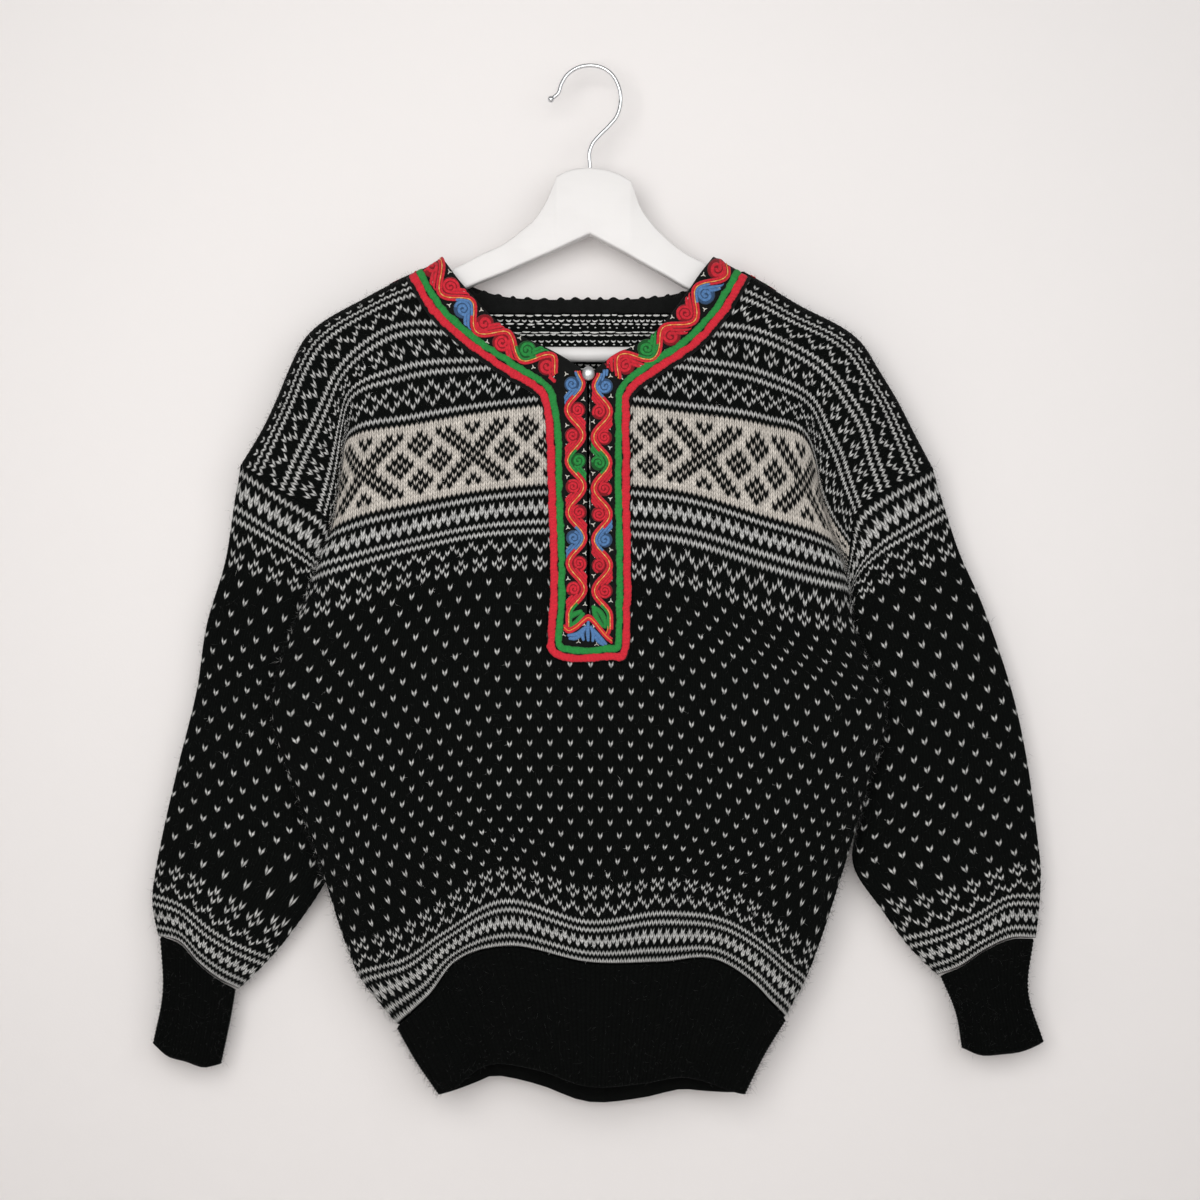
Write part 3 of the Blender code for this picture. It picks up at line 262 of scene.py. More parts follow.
HEM_BACK_DROP = 14.0             # board units the back hem hangs lower
HEM_BACK_DEPTH = (13, 12, 9, 4.5, -0.5, -3, -4.8)
HEM_RIBS = 52                    # ribs on the front, and again on the back

# ------------------------------------------------------------- sleeve tables
# row from the armhole: five board points from the outer edge (left) to the
# edge beside the body, depth of the middle behind the board, half depth
SLEEVE_LEFT = {
    8.0: ((233, 509), (268, 531), (300, 551), (325, 576), (341, 616), 6.0, 11.0),
    16.5: ((226, 556), (262, 571), (297, 585), (326, 601), (345, 631), 8.5, 11.5),
    30.0: ((207, 622), (242, 637), (277, 652), (311, 665), (340, 682), 9.5, 12.0),
    46.0: ((196, 692), (231, 705), (266, 717), (299, 729), (330, 741), 10.5, 12.0),
    61.0: ((179, 761), (218, 775), (257, 789), (295, 801), (328, 813), 10.5, 12.5),
    77.0: ((163, 830), (205, 845), (248, 861), (290, 873), (326, 882), 10.0, 13.0),
    84.5: ((156, 866), (191, 881), (226, 904), (260, 922), (292, 932), 9.5, 13.0),
    93.0: ((152, 901), (180, 911), (208, 935), (238, 952), (266, 963), 8.5, 12.5),
    102.0: ((158, 936), (180, 942), (198, 962), (218, 978), (239, 989), 7.5, 11.5),
}
SLEEVE_RIGHT = {
    8.0: ((945, 508), (912, 527), (880, 547), (857, 573), (843, 617), 6.0, 11.0),
    16.5: ((958, 548), (920, 564), (883, 580), (854, 600), (837, 632), 8.5, 11.5),
    30.0: ((983, 605), (943, 622), (902, 640), (867, 656), (838, 676), 9.5, 12.0),
    46.0: ((1012, 690), (972, 702), (930, 717), (892, 730), (856, 742), 10.5, 12.0),
    61.0: ((1027, 758), (984, 772), (939, 787), (897, 801), (858, 812), 10.5, 12.5),
    77.0: ((1037, 830), (994, 842), (948, 856), (900, 867), (856, 874), 10.0, 13.0),
    84.5: ((1041, 866), (1003, 873), (965, 890), (922, 902), (880, 908), 9.5, 13.0),
    93.0: ((1040, 902), (1008, 903), (975, 922), (942, 936), (907, 945), 8.5, 12.5),
    102.0: ((1036, 938), (1011, 938), (984, 950), (960, 966), (937, 975), 7.5, 11.5),
}
# height fraction of the cuff: five board points, middle depth, half depth
CUFF_LEFT = {
    0.0: ((160, 937), (179.5, 945), (197, 964), (216.5, 979.4), (236, 989.2), 7.5, 9.5),
    0.4: ((163, 985), (179, 992), (196, 1003), (213, 1011), (231, 1018), 7.0, 9.0),
    1.0: ((153, 1044), (168, 1056), (186, 1061), (204, 1067), (221, 1064), 6.0, 9.5),
}
CUFF_RIGHT = {
    0.0: ((1034, 939), (1011, 940.2), (984.6, 952), (961.4, 967.6), (940, 976), 7.5, 9.5),
    0.4: ((1028, 985), (1010, 990), (992, 997), (972, 1002), (954, 1008), 7.0, 9.0),
    1.0: ((1044, 1042), (1022, 1051), (1000, 1054), (980, 1055), (962, 1048), 6.0, 9.5),
}
CUFF_RIBS = 26

# ------------------------------------------------------------- hanger tables
# board column: top row, bottom row, half thickness in mm
WOOD = ((324, 331, 362, 4.2), (327, 327, 365, 5.0), (342, 319, 364, 5.0),
        (342.7, 318.6, 342, 5.0), (366, 307, 331, 5.0), (412, 290, 311, 5.0),
        (440, 280, 299, 4.6), (449, 272, 295, 5.2), (462, 265.5, 290.5, 5.5), (480, 256, 283, 5.8),
        (505, 244, 273, 6.0), (521, 232, 266, 6.2), (538, 216, 258.5, 6.4),
        (548, 199, 254.2, 6.6), (553, 187, 252, 6.8), (556.6, 178, 250.5, 7.0),
        (562, 174.6, 248, 7.0), (571, 171.2, 243.8, 7.0), (589.6, 168.8, 235.2, 7.0),
        (610, 172, 246, 7.0), (622, 176.8, 252.4, 7.0), (630.8, 182, 257.2, 7.0),
        (633.4, 189, 258.8, 6.8), (639, 205, 262, 6.6),
        (649, 221, 267.6, 6.4), (666, 239, 277, 6.2), (687, 255, 289, 5.8),
        (710, 266.5, 297, 5.5), (722, 275, 299.5, 4.8), (738, 284, 302, 4.8),
        (760, 294, 310.5, 5.0), (798, 313, 330, 5.0), (822.3, 325.6, 342, 5.0),
        (823, 326, 364, 5.0), (838, 334, 365, 5.0), (841, 338, 362, 4.2))
WOOD_TIP = 7                     # rows of it at each tip that keep their steps
WOOD_CORNERS = (556.6, 589.6, 630.8)     # columns where the outline turns sharply
BAR_ROW, BAR_COLUMNS = 354.5, (343.4, 821.6)     # middle of the bar, its ends
BUTTON_AT = (588.4, 374.0)       # board point of it, on the neck band
HOOK_PATH = ((548, 101), (553, 97.8), (558, 93.6), (561, 85), (566.5, 75.6),
             (578, 67.6), (590, 65.4), (601, 67.2), (611, 73.5),
             (618, 84.8), (620.6, 96.4), (620, 106), (616.8, 116),
             (609, 126), (599, 136), (593, 143), (590, 150), (590, 168.4))
HOOK_BALL = 2.9                  # radius of the ball at the hook's tip
BALL_AT, BALL_HALF = 3.4, 3.45   # its middle and half length along the path


# ------------------------------------------------------------------- curves
def hermite(knots, values, at):
    """Smooth curve through values at the knots, slopes from the neighbours."""
    knots = np.asarray(knots, float)
    values = np.asarray(values, float)
    at = np.asarray(at, float)
    step = np.diff(knots)
    shape = (-1,) + (1,) * (values.ndim - 1)
    rise = np.diff(values, axis=0) / step.reshape(shape)
    slope = np.empty_like(values)
    slope[0], slope[-1] = rise[0], rise[-1]
    before, after = step[:-1].reshape(shape), step[1:].reshape(shape)
    slope[1:-1] = (rise[:-1] * after + rise[1:] * before) / (before + after)
    i = np.clip(np.searchsorted(knots, at, side="right") - 1, 0, len(step) - 1)
    h = step[i].reshape(shape)
    t = ((at - knots[i]) / step[i]).reshape(shape)
    return ((1 + 2 * t) * (1 - t) ** 2 * values[i] + t * (1 - t) ** 2 * h * slope[i]
            + t * t * (3 - 2 * t) * values[i + 1] + t * t * (t - 1) * h * slope[i + 1])


def weights(knots, at):
    """How much each knot counts at each place, as a matrix."""
    return hermite(knots, np.eye(len(knots)), at)


def unit(vectors):
    """Vectors scaled to length one; a zero vector stays zero."""
    return vectors / np.maximum(np.linalg.norm(vectors, axis=-1, keepdims=True), 1e-12)


def run_along(points):
    """Distance of each point from the first, along the line of points."""
    return np.concatenate([[0.0], np.cumsum(np.linalg.norm(np.diff(points, axis=0), axis=1))])


def smooth(low, high, x):
    """Eased step from 0 at low to 1 at high."""
    t = np.clip((np.asarray(x, float) - low) / (high - low), 0.0, 1.0)
    return t * t * (3 - 2 * t)


def both_halves(left, right):
    """A table's rows from side seam to side seam: the left half's stations
    from the seam inward, then the right half's."""
    return np.array([list(left[k][:0:-1]) + list(right[k]) for k in sorted(left)], float)


def woven(down, across, table):
    """Values of a table (rows, stations, ...) at places whose weights for
    its rows and its stations are given: the sum of value times weights."""
    part = (down @ table.reshape(len(table), -1)).reshape((len(down),) + table.shape[1:])
    return np.einsum("ns,ns...->n...", across, part)


def seen(board, depth):
    """Board points and depths behind the board (mm) to points in metres."""
    board = np.asarray(board, float)
    depth = np.asarray(depth, float)
    flat_x = (board[..., 0] - MOUNT[0]) / UNIT
    flat_z = (MOUNT[1] - board[..., 1]) / UNIT
    near = (depth - EYE[1]) / -EYE[1]
    return np.stack([EYE[0] + (flat_x - EYE[0]) * near, depth,
                     EYE[2] + (flat_z - EYE[2]) * near], -1) / 1000.0


def over_the_shoulder(v):
    """The wall turns over the shoulder along a quarter round."""
    t = np.clip(np.asarray(v, float) / SHOULDER_ROWS, 0.0, 1.0)
    return np.sqrt(1.0 - (1.0 - t) ** 2)


# ----------------------------------------------------- surfaces of the panels
SIGNED = [-s for s in STATIONS[:0:-1]] + list(STATIONS)
FRONT_KEYS = sorted(LEFT_ROWS)
FRONT_BOARD = both_halves(LEFT_ROWS, RIGHT_ROWS)
FRONT_OUT = both_halves(FRONT_DEPTH, FRONT_DEPTH)
BACK_SIGNED = [-s for s in BACK_STATIONS[:0:-1]] + list(BACK_STATIONS)
BACK_KEYS = sorted(BACK_DEPTH)
BACK_OUT = both_halves(BACK_DEPTH, BACK_DEPTH)


def front_board(w, v):
    """Board points of wales w and rows v of the front."""
    return woven(weights(FRONT_KEYS, v), weights(SIGNED, w), FRONT_BOARD)


def front(w, v):
    """Outside of the front panel."""
    out = woven(weights(FRONT_KEYS, v), weights(SIGNED, w), FRONT_OUT)
    return seen(front_board(w, v), -out * over_the_shoulder(v) - SEAM / 2)


def straight_share(w):
    """How far wales w lie from where the back leaves the front to the seam."""
    return np.clip((np.abs(w) - STRAIGHT_WALE) / (SIDE_WALE - STRAIGHT_WALE), 0.0, 1.0)[:, None]


def back(w, v):
    """Outside of the back panel: the shoulders follow the front, below the
    armholes the panel runs straight from the centre to the side seams."""
    w, v = np.asarray(w, float), np.asarray(v, float)
    board = front_board(w, v)
    side = np.sign(w)
    low = front_board(side * STRAIGHT_WALE, v)
    seam = front_board(side * SIDE_WALE, v)
    straight = low + (seam - low) * straight_share(w)
    blend = np.where(np.abs(w) > STRAIGHT_WALE, smooth(12.0, UNDERARM_ROW, v), 0.0)
    board = board + (straight - board) * blend[:, None]
    out = woven(weights(BACK_KEYS, v), weights(BACK_SIGNED, w), BACK_OUT)
    inward = np.clip((v - 40.0) / 14.0, 0.0, 1.0) * np.clip((np.abs(w) - 66) / 4, 0, 1)
    board[:, 0] -= side * inward * SEAM_SHIFT
    return seen(board, out * over_the_shoulder(v) + SEAM / 2)


def locate(board):
    """Wale and row of board points that lie on the front."""
    board = np.asarray(board, float)
    gw, gv = (a.ravel() for a in np.meshgrid(np.arange(-42, 43.0, 6), np.arange(0, 97.0, 8)))
    net = front_board(gw, gv)
    squares = (board ** 2).sum(1)[:, None] + (net ** 2).sum(1)
    near = np.argmin(squares - 2 * board @ net.T, 1)
    w, v = gw[near], gv[near]
    for _ in range(12):
        here = front_board(w, v)
        dw = (front_board(w + 0.01, v) - here) / 0.01
        dv = (front_board(w, v + 0.01) - here) / 0.01
        miss = board - here
        det = dw[:, 0] * dv[:, 1] - dw[:, 1] * dv[:, 0]
        w = w + (miss[:, 0] * dv[:, 1] - miss[:, 1] * dv[:, 0]) / det
        v = v + (dw[:, 0] * miss[:, 1] - dw[:, 1] * miss[:, 0]) / det
    return w, np.maximum(v, 0.0)


def outward(surface, w, v):
    """Unit normals of a panel, pointing out of the pullover; straight up
    where the panels meet along the shoulder."""
    e = 0.05
    v = np.asarray(v, float)
    dw = surface(w + e, v) - surface(w - e, v)
    dv = surface(w, v + e) - surface(w, np.maximum(v - e, 0.004))
    n = np.cross(dw, dv) * (1.0 if surface is back else -1.0)
    n[v <= 0.0, 1] = 0.0
    return unit(n)


def facing(surface, w, v):
    """Outward normals of a panel; along the side seam both panels share one."""
    n = outward(surface, w, v)
    shared = (np.abs(w) >= SIDE_WALE) & (v >= UNDERARM_ROW)
    if shared.any():
        n[shared] = outward(front, w[shared], v[shared]) + outward(back, w[shared], v[shared])
    return unit(n)


QUARTERS = (0.0, 0.25, 0.5, 0.75, 1.0)      # of the way across a sleeve


def round_sleeve(table, turns, u):
    """Outside of a sleeve at rows u; turns 0..1 run from the outer edge over
    the front to the edge at the body, 1..2 return over the back."""
    keys = sorted(table)
    turns, u = np.asarray(turns, float), np.asarray(u, float)
    phi = np.where(turns > 1.0, 2.0 - turns, turns)
    face = np.where(turns > 1.0, 1.0, -1.0)
    board = np.array([table[k][:5] for k in keys], float)
    mid, half = np.array([table[k][5:] for k in keys], float).T
    down = weights(keys, np.maximum(u, keys[0]))
    along = weights(QUARTERS, phi)
    pts = woven(down, along, board)
    bulge = np.sin(np.pi * np.clip(phi, 0, 1)) ** 0.55
    depth = down @ mid + face * (down @ half) * bulge
    return seen(pts, depth)


ARMHOLE_ROWS = (0.0, 11.5, 22.0, 38.0, UNDERARM_ROW)     # at the quarters


def armhole(side, turns):
    """The armhole edge of the body, the way its panels face there and the
    way the edge runs."""
    turns = np.asarray(turns, float)
    phi = np.where(turns > 1.0, 2.0 - turns, turns)
    v = hermite(QUARTERS, ARMHOLE_ROWS, phi)
    w = np.full(len(v), side * SIDE_WALE)
    behind = (turns > 1.0)[:, None]
    edge = np.where(behind, back(w, v), front(w, v))
    normal = np.where(behind, facing(back, w, v), facing(front, w, v))
    low, high = np.maximum(v - 0.1, 0.0), v + 0.1
    run = np.where(behind, back(w, high) - back(w, low), front(w, high) - front(w, low))
    return edge, normal, unit(run)


# ------------------------------------------------------------- soft creases
# wale, row, half width and half length (mm), lean off upright (degrees),
# height (mm): soft ridges and troughs that hanging puts into each panel
FRONT_CREASES = (
    (-50, 60, 9, 46, 38, 1.5), (-44, 66, 8, 40, 40, -1.3), (52, 62, 9, 50, -36, 1.5),
    (45, 70, 9, 44, -40, -1.4), (-33, 120, 12, 60, 4, 1.3), (-22, 132, 9, 48, -3, -1.3),
    (-12, 127, 10, 52, 2, 1.1), (9, 124, 11, 56, -4, -1.2), (19, 133, 9, 42, 3, 1.4),
    (31, 128, 10, 52, -6, -1.2), (42, 118, 11, 60, -8, 1.3), (-46, 108, 11, 55, 9, -1.1),
    (56, 98, 10, 60, -5, 1.0), (-58, 92, 10, 56, 6, 1.0), (0, 98, 22, 60, 0, 0.9),
    (-6, 150, 5, 18, 2, -0.9), (-15, 151, 5, 16, -4, 0.8), (-27, 150, 5, 19, 3, -0.9),
    (6, 151, 5, 17, 1, 0.8), (14, 150, 5, 19, -3, -0.9), (25, 151, 5, 16, 5, 0.8),
    (36, 150, 5, 18, -2, -0.8), (-38, 151, 5, 18, 2, 0.8), (47, 151, 5, 16, 4, 0.7),
    (-57, 24, 7, 34, 24, 1.0), (58, 26, 7, 36, -22, 1.0), (-40, 88, 12, 44, 30, 1.0),
    (36, 92, 13, 40, -34, 0.9))
BACK_CREASES = (
    (-48, 62, 9, 46, 34, 1.4), (-40, 70, 9, 42, 38, -1.2), (50, 60, 9, 48, -38, 1.4),
    (42, 72, 8, 42, -34, -1.2), (-28, 118, 11, 62, -3, 1.3), (-15, 130, 9, 46, 4, -1.3),
    (3, 126, 10, 54, -2, 1.2), (16, 119, 11, 58, 3, -1.1), (29, 131, 9, 46, -5, 1.3),
    (44, 122, 11, 56, 6, -1.1), (0, 40, 30, 44, 90, 0.9), (0, 74, 24, 60, 0, 0.9),
    (-54, 98, 10, 58, 5, 1.0), (57, 92, 10, 54, -6, 1.0), (-8, 151, 5, 17, 2, -0.9),
    (9, 150, 5, 18, -2, 0.8), (22, 151, 5, 16, 3, -0.8), (-22, 150, 5, 18, -3, 0.8),
    (-36, 151, 5, 17, 2, -0.8), (37, 150, 5, 17, -2, 0.8))
# for the sleeves: wale round the sleeve, row, and the rest the same
SLEEVE_CREASES = (
    (9, 74, 8, 40, 30, 1.2), (15, 84, 7, 30, 36, -1.2), (22, 78, 8, 34, 28, 1.1),
    (28, 90, 6, 24, 30, -1.0), (6, 44, 9, 46, -14, 0.9), (18, 34, 9, 50, 18, -1.0),
    (27, 22, 7, 34, 34, 1.1), (24, 52, 9, 44, 8, 0.9), (12, 96, 5, 16, 4, 0.8),
    (20, 97, 5, 16, -4, -0.8), (30, 96, 5, 15, 5, 0.7), (44, 70, 9, 44, -24, 1.1),
    (52, 84, 7, 30, -30, -1.0), (60, 50, 9, 46, 12, 0.9), (47, 30, 8, 40, -16, -0.9),
    (58, 96, 5, 16, 3, 0.8), (66, 92, 6, 22, -20, -0.8))
CREASE_WALES = 72.0              # wales round the sleeve in that table
WALE_MM, ROW_MM = 4.17, 3.7      # width and height of a stitch


def creases(table, w, v, round_by=None):
    """Height (mm) of the soft creases at wales w and rows v: each is a bell
    curve across its line times a longer bell curve along it."""
    total = np.zeros(len(w))
    for w0, v0, wide, long, lean, high in table:
        dx = w - w0
        if round_by:
            dx = (dx + round_by / 2) % round_by - round_by / 2
        x, y = dx * WALE_MM, (v - v0) * ROW_MM
        a = math.radians(lean)
        across = x * math.cos(a) - y * math.sin(a)
        along = x * math.sin(a) + y * math.cos(a)
        total += high * np.exp(-(across / wide) ** 2 - (along / long) ** 2)
    return total


def hung(surface, w, v):
    """Points and outward normals of a panel as it hangs: the panel's surface
    moved along its normal by the creases, which fade out at its seams, under
    the neck band and beside the slit."""
    w, v = np.asarray(w, float), np.asarray(v, float)
    normal = facing(surface, w, v)
    table = BACK_CREASES if surface is back else FRONT_CREASES
    at_seams = (smooth(0, 8, v) * (1 - smooth(151.5, BODY_ROWS, v))
                * (1 - smooth(62, SIDE_WALE, np.abs(w))))
    at_rest = at_seams * (1 - (1 - smooth(9, 20, np.abs(w))) * (1 - smooth(74, 86, v)))
    return surface(w, v) + normal * (creases(table, w, v) * at_rest / 1000)[:, None], normal


def drawn_up(w, v):
    """Rows as the shoulders pull them: away from the neck the first rows lie
    closer to the seam."""
    pull = (1.5 * smooth(19, 33, np.abs(w)) - 0.8) * smooth(0, 5.5, v)
    return v - pull * (1 - smooth(8, 24, v))


def sleeve_at(table, side, turns, u):
    """Points of a sleeve: below the first table row its own surface, above it
    a cubic that leaves the armhole edge, stood off by the seam."""
    turns, u = np.asarray(turns, float) % 2.0, np.asarray(u, float)
    key = min(table)
    edge, panel, run = armhole(side, turns)
    start = round_sleeve(table, turns, np.full(len(turns), key))
    later = round_sleeve(table, turns, np.full(len(turns), key + 1.0))
    leave, arrive = start - edge, (later - start) * key
    t = np.clip(u / key, 0.0, 1.0)[:, None]
    bridge = ((1 + 2 * t) * (1 - t) ** 2 * edge + t * (1 - t) ** 2 * leave
              + t * t * (3 - 2 * t) * start + t * t * (t - 1) * arrive)
    away = leave.copy()
    for direction in (panel, run):
        away -= direction * (away * direction).sum(1)[:, None]
    away = unit(away)
    under = np.clip(1.0 - np.abs(turns - 1.0) / 0.3, 0.0, 1.0)[:, None]
    stand = (away * (ARM_SEAM + 0.9 * under) + panel * (ARM_SEAM + 0.5 * under)) / 1000
    bridge += stand * np.clip(1.0 - u / 2.5, 0.0, 1.0)[:, None]
    return np.where((u < key)[:, None], bridge, round_sleeve(table, turns, np.maximum(u, key)))


def even_wales(table, side, lines):
    """Turns of evenly spaced wales, a line of them for each row in lines:
    the girth is measured along each row and cut into equal parts."""
    fine = np.linspace(0.0, 2.0, 361)
    share = np.linspace(0.0, 1.0, 4 * SLEEVE_WALES + 1)
    found = []
    for u in lines:
        ring = sleeve_at(table, side, fine, np.full(len(fine), u))
        ring[-1] = ring[0]
        length = run_along(ring)
        found.append(np.interp(share, length / length[-1], fine))
    return np.array(found)


def between_lines(lines, values, share, u):
    """Bilinear look-up in a table of rows `lines` by even shares 0..1."""
    i = np.clip(np.searchsorted(lines, u, side="right") - 1, 0, len(lines) - 2)
    f = np.clip((u - lines[i]) / (lines[i + 1] - lines[i]), 0, 1)
    place = np.clip(share, 0, 1) * (values.shape[1] - 1)
    j = np.minimum(place.astype(int), values.shape[1] - 2)
    g = place - j
    if values.ndim > 2:
        f, g = f[..., None], g[..., None]
    return ((values[i, j] * (1 - g) + values[i, j + 1] * g) * (1 - f)
            + (values[i + 1, j] * (1 - g) + values[i + 1, j + 1] * g) * f)


def tube(plain, rows, flip, lift=None):
    """Points and outward normals of a tube, the points moved out by `lift`
    (mm).  The normals come from small steps round the tube and along it."""
    def place(w, v):
        w, v = np.asarray(w, float), np.asarray(v, float)
        mid, e = np.clip(v, 0.1, rows - 0.1), 0.08
        along = plain(w, mid + e) - plain(w, mid - e)
        across = plain(w + e, mid) - plain(w - e, mid)
        normal = unit(np.cross(along, across) * flip)
        if lift is None:
            return plain(w, v), normal
        return plain(w, v) + normal * (lift(w, v) / 1000)[:, None], normal

    return place


def sleeve_surface(table, side):
    """A sleeve as it hangs, as a function of wales and rows."""
    lines = np.linspace(0.0, SLEEVE_ROWS, 35)
    turns = even_wales(table, side, lines)

    def plain(w, u):
        u = np.clip(u, 0.0, SLEEVE_ROWS)
        turn = between_lines(lines, turns, (w / SLEEVE_WALES) % 1.0, u)
        return sleeve_at(table, side, turn, u)

    def lift(w, u):
        fade = smooth(2, 12, u) * (1 - smooth(97, SLEEVE_ROWS, u))
        return creases(SLEEVE_CREASES, w * CREASE_WALES / SLEEVE_WALES, u, CREASE_WALES) * fade

    return tube(plain, SLEEVE_ROWS, -side, lift)


def cuff_surface(table, side, rows):
    """A cuff as a function of ribs (0..26) and rows, one wale a rib."""
    def plain(w, v):
        t = np.asarray(w, float) / CUFF_RIBS * 2.0 % 2.0
        half = np.where(t >= 1.0, t - 1.0, t)
        half = half + (0.5 - 0.5 * np.cos(np.pi * half) - half) * 0.3
        return round_sleeve(table, np.where(t >= 1.0, 1.0 + half, half), np.clip(v / rows, 0, 1))

    return tube(plain, rows, -side)


def hem_point(w, behind, t):
    """Points of the hem at signed wales w, height fraction t; behind is true
    on the back."""
    keys = sorted(HEM_DEPTH)
    fore, sides, aft = HEM_TOP_DROP
    top = both_halves({0: LEFT_ROWS[BODY_ROWS]}, {0: RIGHT_ROWS[BODY_ROWS]})
    top[..., 1] += np.where(np.abs(SIGNED) > 50, sides, fore)
    board = np.concatenate([top, both_halves(HEM_LEFT, HEM_RIGHT)])
    down, across = weights(keys, t), weights(SIGNED, w)
    point = woven(down, across, board)
    y = -woven(down, across, both_halves(HEM_DEPTH, HEM_DEPTH))
    side = np.where(w < 0, -1.0, 1.0)
    seam = np.where((w < 0)[:, None], down @ board[:, 0], down @ board[:, -1])
    base = woven(down, weights(SIGNED, side * STRAIGHT_WALE), board)
    straight = base + (seam - base) * straight_share(w)
    low = np.where((np.abs(w) > STRAIGHT_WALE)[:, None], straight, point)
    low[:, 1] += aft * (1 - t) + HEM_BACK_DROP * t * (1 - (w / SIDE_WALE) ** 2)
    rear = hermite(BACK_STATIONS, HEM_BACK_DEPTH, np.abs(w))
    return seen(np.where(behind[:, None], low, point), np.where(behind, rear, y))


def hem_surface(rows):
    """The hem as a function of ribs (0..104, front then back) and rows."""
    def plain(w, v):
        a = (2.0 * np.asarray(w, float) + 0.5) % (4.0 * HEM_RIBS) - 0.5
        behind = a > 2.0 * HEM_RIBS - 0.5
        step = np.where(behind, a - 2.0 * HEM_RIBS, a)
        signed = SIDE_WALE * (1 - 2 * (step + 0.5) / (2.0 * HEM_RIBS))
        return hem_point(np.where(behind, -signed, signed), behind, np.clip(v / rows, 0, 1))

    return tube(plain, rows, -1.0)


# ------------------------------------------------------------ knitting charts
DARK, LIGHT, ECRU = 0, 1, 2


def in_turn(line, *patterns):
    """The first pattern on line 0, the next on line 1 and so on."""
    return np.select([line == k for k in range(len(patterns))], patterns, False)


def zigzag(line, c):
    """Three rows of a zigzag, four stitches wide: peak, flanks, valleys."""
    return in_turn(line, c % 4 == 0, c % 2 == 1, c % 4 == 2)


def crosses(line, c, shift):
    """Three rows of small crosses and rings in turn, eight stitches wide."""
    at, ring = (c - shift + 4) % 8 - 4, (c - shift) % 8 - 4
    outer = (np.abs(at) == 1) | (ring == 0)
    return in_turn(line, outer, (at == 0) | (np.abs(ring) == 1), outer)


def teeth(line, c):
    """Three rows: every other stitch, all, the stitches between."""
    return in_turn(line, c % 2 == 0, True, c % 2 == 1)


def lattice(line, c):
    """Five rows of diamonds, four stitches wide: a zigzag and its mirror."""
    return zigzag(np.minimum(line, 4 - line), c)


def flecks(q, c, first, last):
    """Single stitches, every third row and every fourth wale, in turn."""
    return ((q >= first) & (q <= last) & ((q - first) % 3 == 0)
            & ((c + 2 * ((q - first) // 3)) % 4 == 0))


# offsets from a saltire's middle, by distance from the band's middle row
SALTIRE = {6: (1, 5, 7, 11), 5: (0, 4, 6, 10, 12), 4: (3, 5, 9, 11, 13), 3: (2, 4, 10, 12),
           2: (1, 3, 7, 11, 15), 1: (0, 2, 6, 8, 14, 16), 0: (1, 5, 7, 9, 13, 15, 17)}


def wide_band(r, out):
    """Seventeen rows of saltires and groups of small diamonds on ecru; r is
    the row from its middle, out the distance from the centre front."""
    c = np.abs((out - 1 + 11) % 22 - 11)
    c = np.where(c > 11, 22 - c, c)
    dark = np.zeros(r.shape, bool)
    for row, offsets in SALTIRE.items():
        for o in offsets:
            dark |= (np.abs(r) == row) & (c == (o if o <= 11 else 22 - o))
    return np.where(dark, DARK, ECRU)


def body_chart(q, k):
    """Yarn of stitch k (from the centre front) in row q of the body."""
    q, k = np.asarray(q), np.asarray(k)
    out = np.where(k >= 0, k, -1 - k)
    light = np.isin(q, (4, 6, 12, 14, 20, 22, 30, 50, 56, 58, 146, 148, 154, 156))
    light |= (q == 2) & (k % 2 == 0)
    light |= zigzag(q - 8, k) | zigzag(q - 60, k) | zigzag(q - 142, k)
    light |= crosses(q - 16, k, 0) | crosses(q - 64, k, 2) | crosses(q - 138, k, 0)
    light |= lattice(q - 24, k) | teeth(q - 52, k) | teeth(q - 150, k)
    light |= flecks(q, k, 69, 135)
    yarn = np.where(light, LIGHT, DARK)
    band = (q >= 32) & (q <= 48)
    return np.where(band, wide_band(q - 40, out), yarn)


def sleeve_chart(q, k):
    """Yarn of stitch k (round the sleeve) in row q of a sleeve."""
    q, k = np.asarray(q), np.asarray(k)
    light = np.isin(q, (1, 7, 9, 91, 93, 99, 101))
    light |= teeth(q - 3, k) | teeth(q - 95, k) | zigzag(q - 11, k) | zigzag(q - 87, k)
    light |= crosses(q - 15, k, 2) | crosses(q - 83, k, 0) | flecks(q, k, 20, 80)
    return np.where(light, LIGHT, DARK)


def plain_chart(q, k):
    """One dark yarn throughout."""
    return np.zeros(np.shape(q), int)


# ------------------------------------------------------------ knitted shells
def net(columns, lines, sway, top=None, doubled=None, closed=False, base=0):
    """Net of points over a knitted piece: one column for each of `columns`,
    one line across for each of `lines`, each column moved along by its sway
    except on the first and last line.  Points above the edge `top` slide down
    onto it, the column after `doubled` is one with it below the slit, and a
    closed net ends where it began."""
    fade = np.ones(len(lines))
    fade[0] = fade[-1] = 0.0
    v = lines[:, None] + sway[None, :] * fade[:, None]
    w = np.broadcast_to(columns, v.shape)
    index = base + np.arange(v.size).reshape(v.shape)
    if top is not None:
        first = np.maximum((v <= top).sum(0) - 1, 0)
        v = np.maximum(v, top)
        index = np.take_along_axis(index, np.maximum(np.arange(len(lines))[:, None], first), 0)
    if doubled is not None:
        joined = v[:, doubled] >= SLIT_END
        index[joined, doubled + 1] = index[joined, doubled]
    if closed:
        index[:, -1] = index[:, 0]
    return w, v, index


